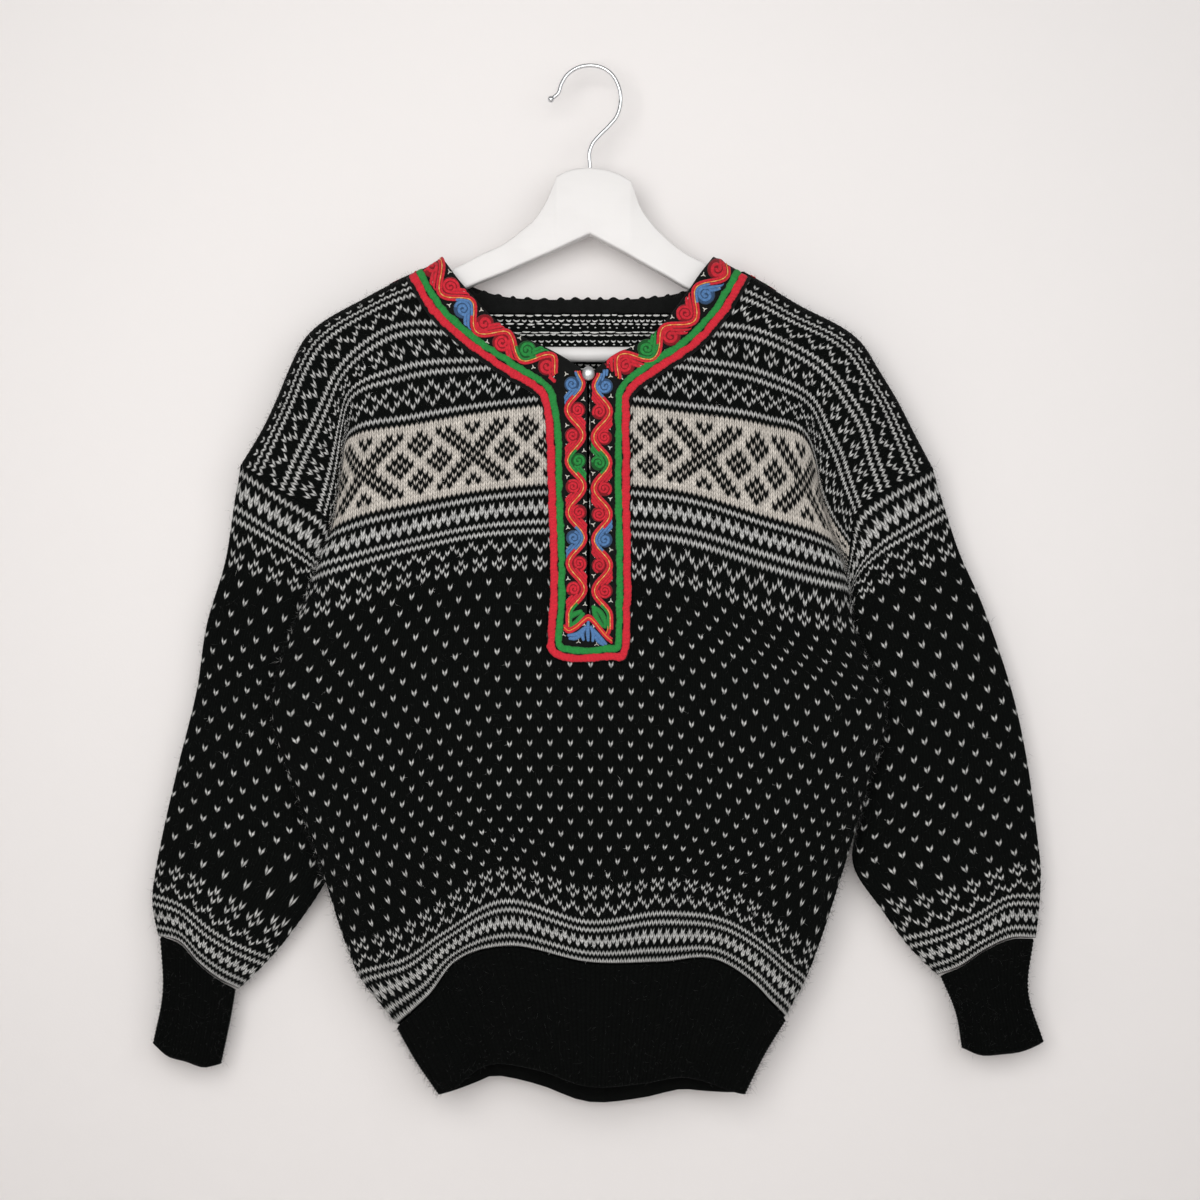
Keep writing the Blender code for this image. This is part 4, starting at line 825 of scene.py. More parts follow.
def zip_up(fine, fine_at, coarse, coarse_at):
    """Triangles between two rows of points that run side by side: each short
    edge takes the nearest point across, each long edge the point where that
    changes."""
    fine_mid = (fine_at[1:] + fine_at[:-1]) / 2
    coarse_mid = (coarse_at[1:] + coarse_at[:-1]) / 2
    near = np.searchsorted(coarse_mid, fine_mid)
    turn = np.searchsorted(fine_mid, coarse_mid)
    one = np.stack([fine[:-1], fine[1:], coarse[near]], 1)
    two = np.stack([coarse[1:], coarse[:-1], fine[turn]], 1)
    both = np.concatenate([one, two])
    return both[has_area(both)]


def has_area(triangles):
    """Which triangles have three different corners."""
    a, b, c = triangles.T
    return (a != b) & (b != c) & (a != c)


def edge_of(index, at):
    """A net's edge without the points that fell together."""
    keep = np.concatenate([[True], index[1:] != index[:-1]])
    return index[keep], at[keep]


def with_slit(columns):
    """Columns with the middle one doubled, and its place among them."""
    middle = int(np.where(columns == 0)[0][0])
    return np.insert(columns, middle, 0.0), middle


def whole_cells(index, doubled):
    """Which cells of a net are whole, and the corners of those: down, across
    and up again."""
    corners = index[:-1, :-1], index[1:, :-1], index[1:, 1:], index[:-1, 1:]
    a, b, c, d = corners
    whole = ~((a == b) & (c == d))
    if doubled is not None:
        whole[:, doubled] = False
    return whole, [corner[whole] for corner in corners]


def shell(surface, wales, rows, chart, relief, inner_wales, inner_rows, seed,
          top=None, doubled=None, closed=False, thick=KNIT, wrong_side=0.0):
    """Knitted wall.  Its outside has two pillows for every stitch, one for
    each leg; its inside is a plain net; rims join them at every open edge.

    relief holds, in mm, how far the furrow between wales and the middle of a
    wale are sunk and how high a leg stands, then the rows by which a leg
    leans.  Returns points, triangles and, for every triangle, its stitch's
    yarn and shade, how far each corner is crowded by dark yarn, the place of
    its corners on the leg, and the legs themselves.  wrong_side is the height
    of the bumps inside the neck."""
    furrow, middle, rise, lean = relief
    halves = np.round(np.arange(2 * wales[0], 2 * wales[1] + 1)) / 2
    iw, part = np.asarray(inner_wales, float), None
    if doubled is not None:
        (halves, doubled), (iw, part) = with_slit(halves), with_slit(iw)
    edge = (halves * 2) % 2 == 0
    sway = np.where(edge, -lean, lean)
    lines = np.arange(rows + 1.0)
    cut = (lambda columns: None) if top is None else top
    w, v, index = net(halves, lines, sway, cut(halves), doubled, closed)
    sunk = np.where(edge, -furrow, -middle)[None, :] + np.zeros(v.shape)

    whole, (a, b, c, d) = whole_cells(index, doubled)
    q, j = np.where(whole)
    m = v.size + np.arange(len(a))
    corners = [(w[q + i, j + k], v[q + i, j + k]) for i, k in ((0, 0), (1, 0), (1, 1), (0, 1))]
    mid_w, mid_v = np.mean(corners, axis=0)
    legs = np.stack([a, b, m, b, c, m, c, d, m, d, a, m], 1).reshape(-1, 3)
    on_leg = np.array([[0, 0], [0, 1], [.5, .5], [0, 1], [1, 1], [.5, .5],
                       [1, 1], [1, 0], [.5, .5], [1, 0], [0, 0], [.5, .5]])
    spots = np.tile(on_leg.reshape(4, 3, 2), (len(a), 1, 1))
    wale = np.floor(mid_w).astype(int)
    yarn = np.repeat(chart(q, wale), 4)
    rng = np.random.default_rng(seed)
    shade_of = rng.normal(1.0, 0.07, (rows, int(wales[1] - wales[0]) + 2))
    shade = np.repeat(shade_of[q, wale - int(wales[0])] * rng.normal(1.0, 0.035, len(q)), 4)
    # dark yarn crowds the light: corners shared with a dark leg turn dark
    light = np.ones(v.size + len(m))
    for corner in (a, b, c, d):
        np.minimum.at(light, corner, (chart(q, wale) != DARK).astype(float))
    light[index[-1]] = 0.0
    crowd = (1.0 - light[legs]) * (legs < v.size)
    real = legs[:, 0] != legs[:, 1]
    legs, spots, yarn, shade, crowd = (x[real] for x in (legs, spots, yarn, shade, crowd))

    base = v.size + len(m)
    w2, v2, index2 = net(iw, np.asarray(inner_rows, float), np.zeros(len(iw)), cut(iw),
                         part, closed, base)
    _, (a, b, c, d) = whole_cells(index2, part)
    flat = np.stack([d, c, b, d, b, a], 1).reshape(-1, 3)
    shade2 = np.repeat(rng.normal(0.9, 0.08, len(a)), 2)
    real = has_area(flat)
    flat, shade2 = flat[real], shade2[real]

    rims = []
    spans = [(slice(None), slice(None))]
    if doubled is not None:
        spans = [(slice(0, doubled + 1), slice(0, part + 1)),
                 (slice(doubled + 1, None), slice(part + 1, None))]
    for fine, coarse in spans:
        rims.append(zip_up(index[0, fine], halves[fine], index2[0, coarse], iw[coarse]))
        low = zip_up(index[-1, fine], halves[fine], index2[-1, coarse], iw[coarse])
        rims.append(low[:, ::-1])
    if not closed:
        sides = [(-1, -1, False), (0, 0, True)]
        if doubled is not None:
            sides += [(doubled, part, False), (doubled + 1, part + 1, True)]
        for fine, coarse, turn in sides:
            f, fa = edge_of(index[:, fine], v[:, fine])
            g, ga = edge_of(index2[:, coarse], v2[:, coarse])
            if doubled is not None and fine in (doubled, doubled + 1):
                f, g = (x[:(at < SLIT_END).sum() + 1] for x, at in ((f, fa), (g, ga)))
                fa, ga = fa[:len(f)], ga[:len(g)]
            strip = zip_up(f, fa, g, ga)
            rims.append(strip[:, ::-1] if turn else strip)
    rims = np.concatenate(rims)

    point_w = np.concatenate([w.ravel(), mid_w, w2.ravel()])
    point_v = np.concatenate([v.ravel(), mid_v, v2.ravel()])
    out = np.concatenate([sunk.ravel(), np.full(len(m), rise), np.full(v2.size, -thick)])
    if wrong_side:
        bumps = wrong_side * (((np.floor(v2) + np.floor(w2)) % 2) * 2 - 1)
        out[base:] -= bumps.ravel() * (smooth(10, 13, v2) * (1 - smooth(30, 36, v2))).ravel()
    place, normal = surface(point_w, point_v)
    if doubled is not None:
        push = np.zeros(len(place))
        for start, shape, left in ((0, v.shape, doubled), (base, v2.shape, part)):
            columns = push[start:start + shape[0] * shape[1]].reshape(shape)
            columns[:, left], columns[:, left + 1] = -1.0, 1.0
        place[:, 0] += push * (point_v < SLIT_END) * SLIT_HALF / 1000
    points = place + normal * (out / 1000)[:, None]

    triangles = np.concatenate([legs, flat, rims])
    plain = len(flat) + len(rims)
    # The inside and the rims take the dark yarn throughout, and the inside's tone averages 0.9.
    # Where the wrong side has dark floats this is their own colour; behind the ecru band and the
    # light figures the dark is painted shade for the deep shadow inside the pullover.
    yarn = np.concatenate([yarn, np.full(plain, DARK)])
    shade = np.concatenate([shade, shade2, np.ones(len(rims))])
    spots = np.concatenate([spots, np.full((plain, 3, 2), 0.5)])
    crowd = np.concatenate([crowd, np.zeros((plain, 3))])
    a, b, c = points[legs].transpose(1, 0, 2)
    if (np.cross(b - a, c - a) * normal[legs[:, 0]]).sum() < 0:
        triangles, spots, crowd = triangles[:, ::-1], spots[:, ::-1], crowd[:, ::-1]
    used, number = np.unique(triangles, return_inverse=True)
    legs_at = {"points": points[m], "normals": normal[m], "yarn": chart(q, wale)}
    return points[used], number.reshape(-1, 3), yarn, shade, crowd, spots, legs_at


# ------------------------------------------------------------- the neck band
class Cloth:
    """A stretch of hung cloth, its points and normals worked out once in a
    net.  `run` goes along it, share_of() turns a distance across it (board
    units) into a share 0..1 of the net, and `press` flattens what lies on it."""

    def __init__(self, run, share_of, place, normal, press=1.0):
        shape = (len(run), -1, 3)
        self.run, self.share_of = run, share_of
        self.net = np.concatenate([place.reshape(shape), normal.reshape(shape)], -1)
        self.press = np.broadcast_to(press, len(run))

    def at(self, run, across, height):
        """Points and normals, height mm over the knitting."""
        run = np.clip(run, self.run[0], self.run[-1])
        share = self.share_of(run, np.asarray(across))
        found = between_lines(self.run, self.net, share, run)
        normal = unit(found[..., 3:])
        height = np.asarray(height) * np.interp(run, self.run, self.press)
        return found[..., :3] + normal * (height / 1000)[..., None], normal


def strip_of(steps, width, cosine, place, normal, press=1.0):
    """A band: distances count from its outer edge, square to it; cosine says
    how far the net's lines across are from square."""
    strip = Cloth(steps, lambda step, d: d / np.interp(step, steps, cosine * width),
                  place, normal, press)
    strip.width, strip.cosine = width, cosine
    return strip


def lane_of(run, reach, place, normal, press=1.0):
    """A lane: distances count from its middle, inward."""
    return Cloth(run, lambda _, off: (off / reach + 1) / 2, place, normal, press)


ACROSS_BAND = np.linspace(0, 1, 15)         # shares of a band's width


def front_strip():
    """The band on the front: its two edges run through their board points,
    down one side of the slit and up the other."""
    count = np.arange(len(BAND_OUTER))
    steps = np.linspace(0, len(BAND_OUTER) - 1, 621)
    outer, inner = hermite(count, BAND_OUTER, steps), hermite(count, BAND_INNER, steps)
    across = inner - outer
    width = np.linalg.norm(across, axis=1)
    cosine = np.abs((inward_of(outer) * across / width[:, None]).sum(1))
    board = outer[:, None] + across[:, None] * ACROSS_BAND[None, :, None]
    place, normal = hung(front, *locate(board.reshape(-1, 2)))
    strip = strip_of(steps, width, np.clip(cosine, 0.5, 1.0), place, normal)
    strip.middle = outer + across * NECK_VINE
    return strip


def back_strip():
    """The band round the back neck, from its wales and rows; it is pressed
    flat at the shoulders."""
    full = np.array(list(BACK_BAND) + [(-a, b, -c, d) for a, b, c, d in BACK_BAND[-2::-1]])
    steps = np.linspace(0, len(full) - 1, 241)
    dense = hermite(np.arange(len(full)), full, steps)
    w = dense[:, 2:3] + (dense[:, 0:1] - dense[:, 2:3]) * ACROSS_BAND
    v = dense[:, 3:4] + (dense[:, 1:2] - dense[:, 3:4]) * ACROSS_BAND
    place, normal = hung(back, w.ravel(), np.maximum(v.ravel(), 0.0))
    press = 0.12 + 0.88 * smooth(0.0, 0.9, np.minimum(steps, steps[-1] - steps))
    return strip_of(steps, np.full(len(steps), BACK_BAND_WIDE), np.ones(len(steps)),
                    place, normal, press)


def sweep(rings, start, end):
    """Closed tube from rings of points (sections, around, 3), with a point at
    each end."""
    count, around = rings.shape[:2]
    grid = np.arange(count * around).reshape(count, around)
    a, b = grid[:-1], grid[1:]
    quads = np.stack([a, np.roll(a, -1, 1), np.roll(b, -1, 1), b], -1).reshape(-1, 4)
    flat = np.concatenate([quads[:, [0, 1, 2]], quads[:, [0, 2, 3]]])
    first, last = count * around, count * around + 1
    cap_a = np.stack([np.full(around, first), np.roll(grid[0], -1), grid[0]], 1)
    cap_b = np.stack([np.full(around, last), grid[-1], np.roll(grid[-1], -1)], 1)
    points = np.concatenate([rings.reshape(-1, 3), [start, end]])
    return points, np.concatenate([flat, cap_a, cap_b])


def yarn_tube(path, normal, wide, high, sides):
    """Flattened round cord along a path that lies on cloth: each section is
    an ellipse, wide across the path and high along the cloth's normal (mm,
    one value or one for each point)."""
    ahead = unit(np.gradient(path, axis=0))
    across = unit(np.cross(ahead, normal))
    up = np.cross(across, ahead)
    angle = np.arange(sides) * 2 * np.pi / sides
    wide, high = (np.broadcast_to(a, len(path)) / 2000 for a in (wide, high))
    rings = (path[:, None] + across[:, None] * (np.cos(angle) * wide[:, None])[..., None]
             + up[:, None] * (np.sin(angle) * high[:, None])[..., None])
    return sweep(rings, path[0] - ahead[0] * wide[0] * 0.4,
                 path[-1] + ahead[-1] * wide[-1] * 0.4)


class Bundle:
    """Gathers closed pieces into one mesh, each with its own colour."""

    def __init__(self):
        self.points, self.faces, self.colours, self.count = [], [], [], 0

    def add(self, piece, colour):
        """colour is one colour, or one for each point."""
        points, faces = face_outward(*piece)
        self.points.append(points)
        self.faces.append(faces + self.count)
        self.colours.append(np.broadcast_to(np.asarray(colour, float), (len(points), 3)))
        self.count += len(points)

    def add_cord(self, path, normal, wide, high, colours, sides):
        """A cord with a colour for each point of its path."""
        self.add(yarn_tube(path, normal, wide, high, sides),
                 np.concatenate([np.repeat(colours, sides, 0), colours[:1], colours[-1:]]))

    def mesh(self, name):
        """Object with the colours as the attribute "yarn"."""
        faces = np.concatenate(self.faces)
        return mesh_object(name, np.concatenate(self.points), faces,
                           np.concatenate(self.colours)[faces])


def face_outward(points, faces):
    """A closed mesh of triangles, turned where its volume is negative."""
    a, b, c = points[faces].transpose(1, 0, 2)
    return points, faces if (a * np.cross(b, c)).sum() >= 0 else faces[:, ::-1]


def linked(name, data):
    """New object in the scene."""
    obj = bpy.data.objects.new(name, data)
    bpy.context.scene.collection.objects.link(obj)
    return obj


def mesh_object(name, points, faces, corner_colours, corner_spots=None):
    """Mesh object from arrays: points, triangles, a colour for each corner
    and, where given, each corner's place on its stitch."""
    mesh = bpy.data.meshes.new(name)
    mesh.from_pydata(points, [], faces)
    shown = mesh.attributes.new("yarn", "FLOAT_COLOR", "CORNER")
    colours = np.ones((len(faces) * 3, 4), np.float32)
    colours[:, :3] = np.reshape(corner_colours, (-1, 3))
    shown.data.foreach_set("color", colours.ravel())
    if corner_spots is not None:
        leg = mesh.uv_layers.new(name="leg")
        leg.data.foreach_set("uv", np.reshape(corner_spots, -1).astype(np.float32))
    mesh.shade_smooth()
    return linked(name, mesh)


def one_piece(name, shape, colour):
    """Object of one closed piece in one colour, or one for each point."""
    bundle = Bundle()
    bundle.add(shape, colour)
    return bundle.mesh(name)


def ringed_piece(name, rings, colour):
    """The same from rings of points, closed at the middle of its end rings."""
    return one_piece(name, sweep(rings, rings[0].mean(0), rings[-1].mean(0)), colour)


def felt_band(strip, name, colour):
    """Felt strip with rounded edges: a flat loop of section points, given as
    share of the width and height in mm, carried along the band."""
    section = ((0.035, 0.45), (0.0, 0.7), (-0.006, 1.4), (0.008, 2.15), (0.04, 2.5),
               (0.2, 2.55), (0.4, 2.6), (0.6, 2.6), (0.8, 2.6), (0.965, 2.5), (0.992, 2.1),
               (1.0, 1.3), (0.99, 0.7), (0.97, 0.45), (0.6, 0.4), (0.3, 0.4))
    step = np.linspace(strip.run[0], strip.run[-1], 420)
    width, cosine = (np.interp(step, strip.run, a) for a in (strip.width, strip.cosine))
    rings = [strip.at(step, width * cosine * share, height)[0] for share, height in section]
    return ringed_piece(name, keep_apart(np.stack(rings, 1)), colour)


def keep_apart(points):
    """Front and back bands stop short of each other along the shoulder."""
    toward = 1.0 if points[len(points) // 2, 0, 1] > 0 else -1.0
    points[..., 1] = toward * np.maximum(toward * points[..., 1], SEAM / 2000)
    return points


def front_lane(line, reach):
    """Lane on the front panel along board points."""
    line = even_steps(np.asarray(line, float), 1.5)
    off = np.linspace(-reach, reach, LANE_LINES)
    board = line[:, None] + inward_of(line)[:, None] * off[None, :, None]
    return lane_of(run_along(line), reach, *hung(front, *locate(board.reshape(-1, 2))))


def back_lane(strip, distance, reach):
    """Lane on the back band, its middle at a distance from the outer edge."""
    off = np.linspace(-reach, reach, LANE_LINES)
    step = np.repeat(strip.run, len(off))
    place, normal = strip.at(step, np.tile(distance + off, len(strip.run)), 0.0)
    run = run_along(place[len(off) // 2::len(off)]) * 1000 * UNIT
    return lane_of(run, reach, place, normal, strip.press)


def inward_of(line):
    """Unit normals of a board line, on its inner side."""
    ahead = unit(np.gradient(line, axis=0))
    return np.stack([ahead[:, 1], -ahead[:, 0]], 1)


def even_steps(line, pitch):
    """The same line with points an even pitch apart."""
    run = run_along(line)
    at = np.linspace(0, run[-1], max(int(run[-1] / pitch), 2))
    return np.stack([np.interp(at, run, line[:, k]) for k in range(2)], 1)


def set_in(distance):
    """Line at a distance inside the front band's outer edge: every point of
    the edge moved in square to it, 3.2 units less along the slit, without
    those that then lie nearer to another part of the edge, and smoothed over
    a few units."""
    count = np.arange(len(BAND_OUTER))
    edge = even_steps(hermite(count, BAND_OUTER, np.linspace(0, len(count) - 1, 900)), 1.0)
    d = distance - 3.2 * smooth(395, 412, edge[:, 1])
    moved = edge + inward_of(edge) * d[:, None]
    nearest = np.sqrt(((moved[:, None] - edge[None]) ** 2).sum(-1)).min(1)
    moved = even_steps(moved[nearest > d - 0.4], 1.0)
    padded = np.concatenate([moved[:1].repeat(4, 0), moved, moved[-1:].repeat(4, 0)])
    return sum(padded[k:k + len(moved)] for k in range(9)) / 9


def edging(lane, name, colour, seed, half):
    """Flat wool cord: a low half-round section whose edges swell and shrink
    unevenly with the strands that cross it at a slant."""
    run = np.arange(lane.run[0], lane.run[-1], 0.85)
    rng = np.random.default_rng(seed)
    knots = np.arange(0, run[-1] + 20, STRAND_PITCH)

    def uneven(middle, spread):
        return np.interp(run, knots, rng.normal(middle, spread, len(knots)))[:, None]

    drift = np.interp(run, knots, np.cumsum(rng.normal(0, 0.10, len(knots))))[:, None]
    wander, swell = uneven(0, 0.30), uneven(1.0, 0.045)
    ragged = uneven(0, 0.32), uneven(0, 0.32)
    x = np.array([-1.0, -0.93, -0.7, -0.35, 0.0, 0.35, 0.7, 0.93, 1.0, 0.5, 0.0, -0.5])
    rise = np.array([0.15, 0.75, 1.3, 1.55, 1.6, 1.55, 1.3, 0.75, 0.15, 0.05, 0.05, 0.05])
    strand = np.abs(np.sin(np.pi * (run[:, None] / STRAND_PITCH + drift + 0.55 * x))) ** 0.7
    top = rise > 0.1
    high = np.where(top, rise * (0.90 + 0.13 * strand) * swell, rise)
    wide = half * (0.91 + 0.12 * strand) * swell
    off = wander + x * wide + np.where(x > 0, *ragged) * np.abs(x)
    place, _ = lane.at(np.repeat(run, len(x)), off.ravel(), (CORD + high).ravel())
    # Painted shade: on its top the cord is lighter on each strand's crest and darker in the
    # grooves between strands, its outermost sides are darker by a further 0.85, and its underside
    # and ends are painted at 0.6; the random factor is the yarn's own uneven tone.
    tone = np.where(top, 0.88 + 0.14 * strand, 0.6) * rng.normal(1.0, 0.05, (len(run), 1))
    tone = np.where(np.abs(x) > 0.9, tone * 0.85, tone)
    shade = np.asarray(colour) * np.concatenate([tone.ravel(), [0.6, 0.6]])[:, None]
    return ringed_piece(name, keep_apart(place.reshape(len(run), len(x), 3)), shade)


# colours of the bays in turn, from the left shoulder to the slit and down the
# slit; the right half mirrors them
NECK_BAYS = ("red", "red", "blue", "red", "red", "green", "red")
SLIT_BAYS = ("blue", "red", "red", "green", "red", "red", "blue", "red", "red", "leaf")
YARN_OF = {"small": "red", "leaf": "green"}      # bays not named after a colour


def scroll(lane, bundle, stations, sides, tints, palette, seed, half, ends=(0.0, 0.0)):
    """Vine of two thin strands with a bright core.  It swings from side to
    side along a cosine, away from the bay at each station; each bay holds a
    rosette, a cord wound into a spiral, a leaf that runs on along the vine,
    and small white stitches in its corners.  sides are 1 for bays on the
    inner side and -1 on the outer, half is half the vine's width and ends says
    how far over its line starts and stops."""
    rng = np.random.default_rng(seed)
    stations, sides = np.asarray(stations, float), np.asarray(sides, float)
    pitch, grow = np.diff(stations).mean(), half / SLIT_VINE
    lead = np.concatenate([[stations[0] - pitch * 0.5], stations, [stations[-1] + pitch * 0.5]])
    swing = np.concatenate([[ends[0]], -sides, [ends[1]]]) * (half - 2.9)
    run = np.arange(max(lead[0], lane.run[0] + 0.6), min(lead[-1], lane.run[-1] - 0.6), 0.9)

    def vine(at):
        i = np.clip(np.searchsorted(lead, at, side="right") - 1, 0, len(lead) - 2)
        t = np.clip((at - lead[i]) / (lead[i + 1] - lead[i]), 0, 1)
        return swing[i] + (swing[i + 1] - swing[i]) * (0.5 - 0.5 * np.cos(np.pi * t))

    def beside(at, distance):
        """Run and offset at a distance square to the vine."""
        slope = (vine(at + 0.05) - vine(at - 0.05)) / 0.1
        long = np.sqrt(1 + slope ** 2)
        return at - slope / long * distance, vine(at) + distance / long

    def cord(at, off, height, wide, high, tint, sides_of=6):
        inside = (at > lane.run[0] + 0.3) & (at < lane.run[-1] - 0.3)
        if inside.sum() < 3:
            return
        pick = [np.broadcast_to(a, len(at))[inside] for a in (at, off, height, wide, high)]
        path, normal = lane.at(pick[0], pick[1], STITCHED + pick[2])
        bundle.add_cord(path, normal, pick[3], pick[4],
                        np.broadcast_to(tint, (len(at), 3))[inside], sides_of)

    near = np.argmin(np.abs(run[:, None] - stations[None]), 1)
    for hand in (-1.0, 1.0):
        tint = np.tile(palette["red"], (len(run), 1))
        for k, name in enumerate(tints):
            key = YARN_OF.get(name, name)
            if key != "red" and sides[k] == hand:
                tint[(near == k) & (np.abs(run - stations[k]) < pitch * 0.5)] = palette[key]
        # plies follow the twist of each strand: the strand swells with them, and its colour is
        # painted lighter on the crests and darker in the grooves as painted shade; the random
        # factor is the yarn's own uneven tone.
        plies = np.abs(np.sin(run * 1.1 + hand))
        tone = (0.84 + 0.2 * plies) * rng.normal(1.0, 0.04, len(run))
        at, off = beside(run, hand * 1.9)
        cord(at, off, 1.0, 2.35 * (0.95 + 0.1 * plies), 1.5, tint * tone[:, None])
    glow = (0.5 + 0.5 * np.sin(run * 0.9 + rng.uniform(0, 6)))[:, None] ** 2
    tint = palette["orange"] * (1 - glow) + palette["yellow"] * glow
    cord(run, vine(run), 1.5, 1.0 + 0.2 * np.sin(run * 2.4), 0.95, tint, 5)

    for k, (at, side, name) in enumerate(zip(stations, sides, tints)):
        colour = palette[YARN_OF.get(name, name)] * rng.normal(1.0, 0.04)
        size = 5.2 * grow if name == "small" else 8.2 * grow ** 1.5
        mid = side * (half - size + 0.3)
        around = np.linspace(0, 2 * np.pi, 17)[:-1]
        low, high, crown, root = (
            lane.at(at + size * share * np.cos(around), mid + size * share * np.sin(around),
                    STITCHED + 0.25 + lift)[0]
            for share, lift in ((0.97, 0.0), (0.86, 0.6), (0.0, 0.75), (0.0, -0.1)))
        if name != "leaf":
            # a flat disc painted at about a third of the yarn's colour, as painted shade in the
            # gaps between the cord's turns, then the wound cord: its radius shrinks as it winds in
            bundle.add(sweep(np.stack([low, high]), root[0], crown[0]), colour * 0.36)
            turns = (1.6, 2.0, 1.8)[k % 3] if size > 6 else 1.4
            t = np.linspace(0, 1, int(30 * turns))
            theta = rng.uniform(0, 2 * np.pi) + 2 * np.pi * turns * t * (1 if k % 2 else -1)
            gap = size * 0.84 / (turns + 0.35)
            radius = size * 0.99 - gap * (0.5 + turns * t)
            radius = radius * (1 + 0.05 * np.sin(2 * theta + k))
            # the wound cord swells with its plies, and its colour is painted lighter on their
            # crests and darker in the grooves as painted shade, with a random uneven tone
            plies = np.abs(np.sin(theta * 2.7))
            cord(at + radius * np.cos(theta), mid + radius * np.sin(theta), 0.5 + 0.35 * t,
                 gap * 0.94 / UNIT * (0.94 + 0.09 * plies), 1.3,
                 colour * ((0.84 + 0.18 * plies) * rng.normal(1.0, 0.05, len(t)))[:, None])
            # the leaf runs on beside the vine and tapers into the next crossing
            u = np.linspace(0, 1, 15)
            for distance, start, stop in ((4.5, 7.5, 22.5), (7.2, 11.5, 20.0)):
                along, off = beside(at + (start + (stop - start) * u) * pitch / BAY_PITCH,
                                    side * distance * grow)
                off = side * np.minimum(side * off, half - 0.9)
                full = np.sin(np.pi * (0.16 + 0.82 * u)) ** 0.7
                # painted shade: the leaf's colour is banded lighter and darker across it, for the
                # twist of its plies
                plies = np.abs(np.sin(u * 9 + distance))
                cord(along, off, 0.6 + 0.2 * full, 2.6 * grow * full, 1.4 * full + 0.1,
                     colour * (0.82 + 0.2 * plies)[:, None])
        # white stitches of three strokes in the corners
        for end in (-1.0, 1.0):
            foot = np.array([at + end * (size + 1.9), side * (half - 2.5 - 0.4 * end)])
            for lean in rng.uniform(0, 6.3) + np.array([0.0, 2.1, 4.2]):
                u = np.linspace(0, 1, 4)
                cord(foot[0] + 2.5 * u * np.cos(lean), foot[1] + 2.5 * u * np.sin(lean),
                     0.45, 1.15 * (1.1 - 0.6 * u), 0.9, palette["white"], 5)


def foot_motif(bundle, palette):
    """Below the slit: two leaves, and an arch of the vine over a leaf with
    three lobes."""
    def cord(points, height, wide, high, tint, sides_of=6, ends=0.14):
        line = even_steps(hermite(np.arange(len(points)), np.array(points, float),
                                  np.linspace(0, len(points) - 1, 60)), 0.9)
        place, normal = hung(front, *locate(line))
        path = place + normal * ((STITCHED + height) / 1000)
        u = np.linspace(0, 1, len(path))
        taper = np.sin(np.pi * (ends + (1 - 2 * ends) * u)) ** 0.6
        # painted shade: the colour is banded lighter and darker along the cord, for the twist of
        # its plies
        tone = 0.82 + 0.2 * np.abs(np.sin(u * len(path) * 1.1))
        bundle.add_cord(path, normal, wide * taper, high * taper, tint * tone[:, None], sides_of)

    arch = np.array(((564, 627), (569, 630.5), (577, 626.5), (583, 621), (588.5, 617.5),
                     (594, 621.5), (600, 629), (606, 636), (612, 641)))
    for drop in (-1.9, 1.9):
        cord(arch + (0, drop), 1.0, 2.5, 1.6, palette["red"], ends=0.3)
    cord(arch, 1.55, 1.3, 1.0, palette["orange"], 5, 0.3)
    for blade in (((567.2, 622.5), (572, 615.8), (582, 611)),
                  ((569.5, 627), (577.5, 621.5), (583.8, 613)),
                  ((592.2, 606.2), (600.4, 612.6), (605.2, 622), (604.6, 628)),
                  ((593.2, 608.5), (596.4, 617.5), (602.6, 627))):
        cord(blade, 0.8, 4.9, 1.6, palette["green"])
    cord(((609.8, 626), (609.6, 631), (607.0, 636)), 0.9, 2.5, 1.5, palette["red"], ends=0.3)
    cord(((607.8, 626), (607.6, 630), (605.4, 634.5)), 1.3, 1.1, 1.0, palette["orange"], 5, 0.3)
    for lobe in (((588.4, 621), (587.8, 630), (588.2, 641)),
                 ((586, 626), (582.4, 633), (583.6, 640.5)),
                 ((590.6, 626), (593.4, 634), (592.6, 641.5)),
                 ((584, 628), (577, 634), (567.6, 635.4)), ((582, 634), (576, 638), (569, 638.4)),
                 ((593, 629), (599.5, 637), (606.4, 644.4)),
                 ((595, 636), (598.6, 641.2), (604, 645))):
        cord(lobe, 0.8, 3.7, 1.6, palette["blue"])
    for x, y in ((578.6, 641.6), (596.6, 644.0), (563.6, 634.6)):
        for dx, dy in ((0, -2.6), (-2.2, 1.4), (2.2, 1.4)):
            cord(((x, y), (x + dx * 0.5, y + dy * 0.5), (x + dx, y + dy)), 0.5, 1.1, 0.9,
                 palette["white"], 5)


def row_seen(w, height):
    """Rows in which wales w of the back cross a height on the board."""
    v = np.full(len(w), 14.0)
    for _ in range(6):
        here = front_board(w, v)[:, 1]
        v = v + (height - here) * 0.1 / (front_board(w, v + 0.1)[:, 1] - here)
    return v


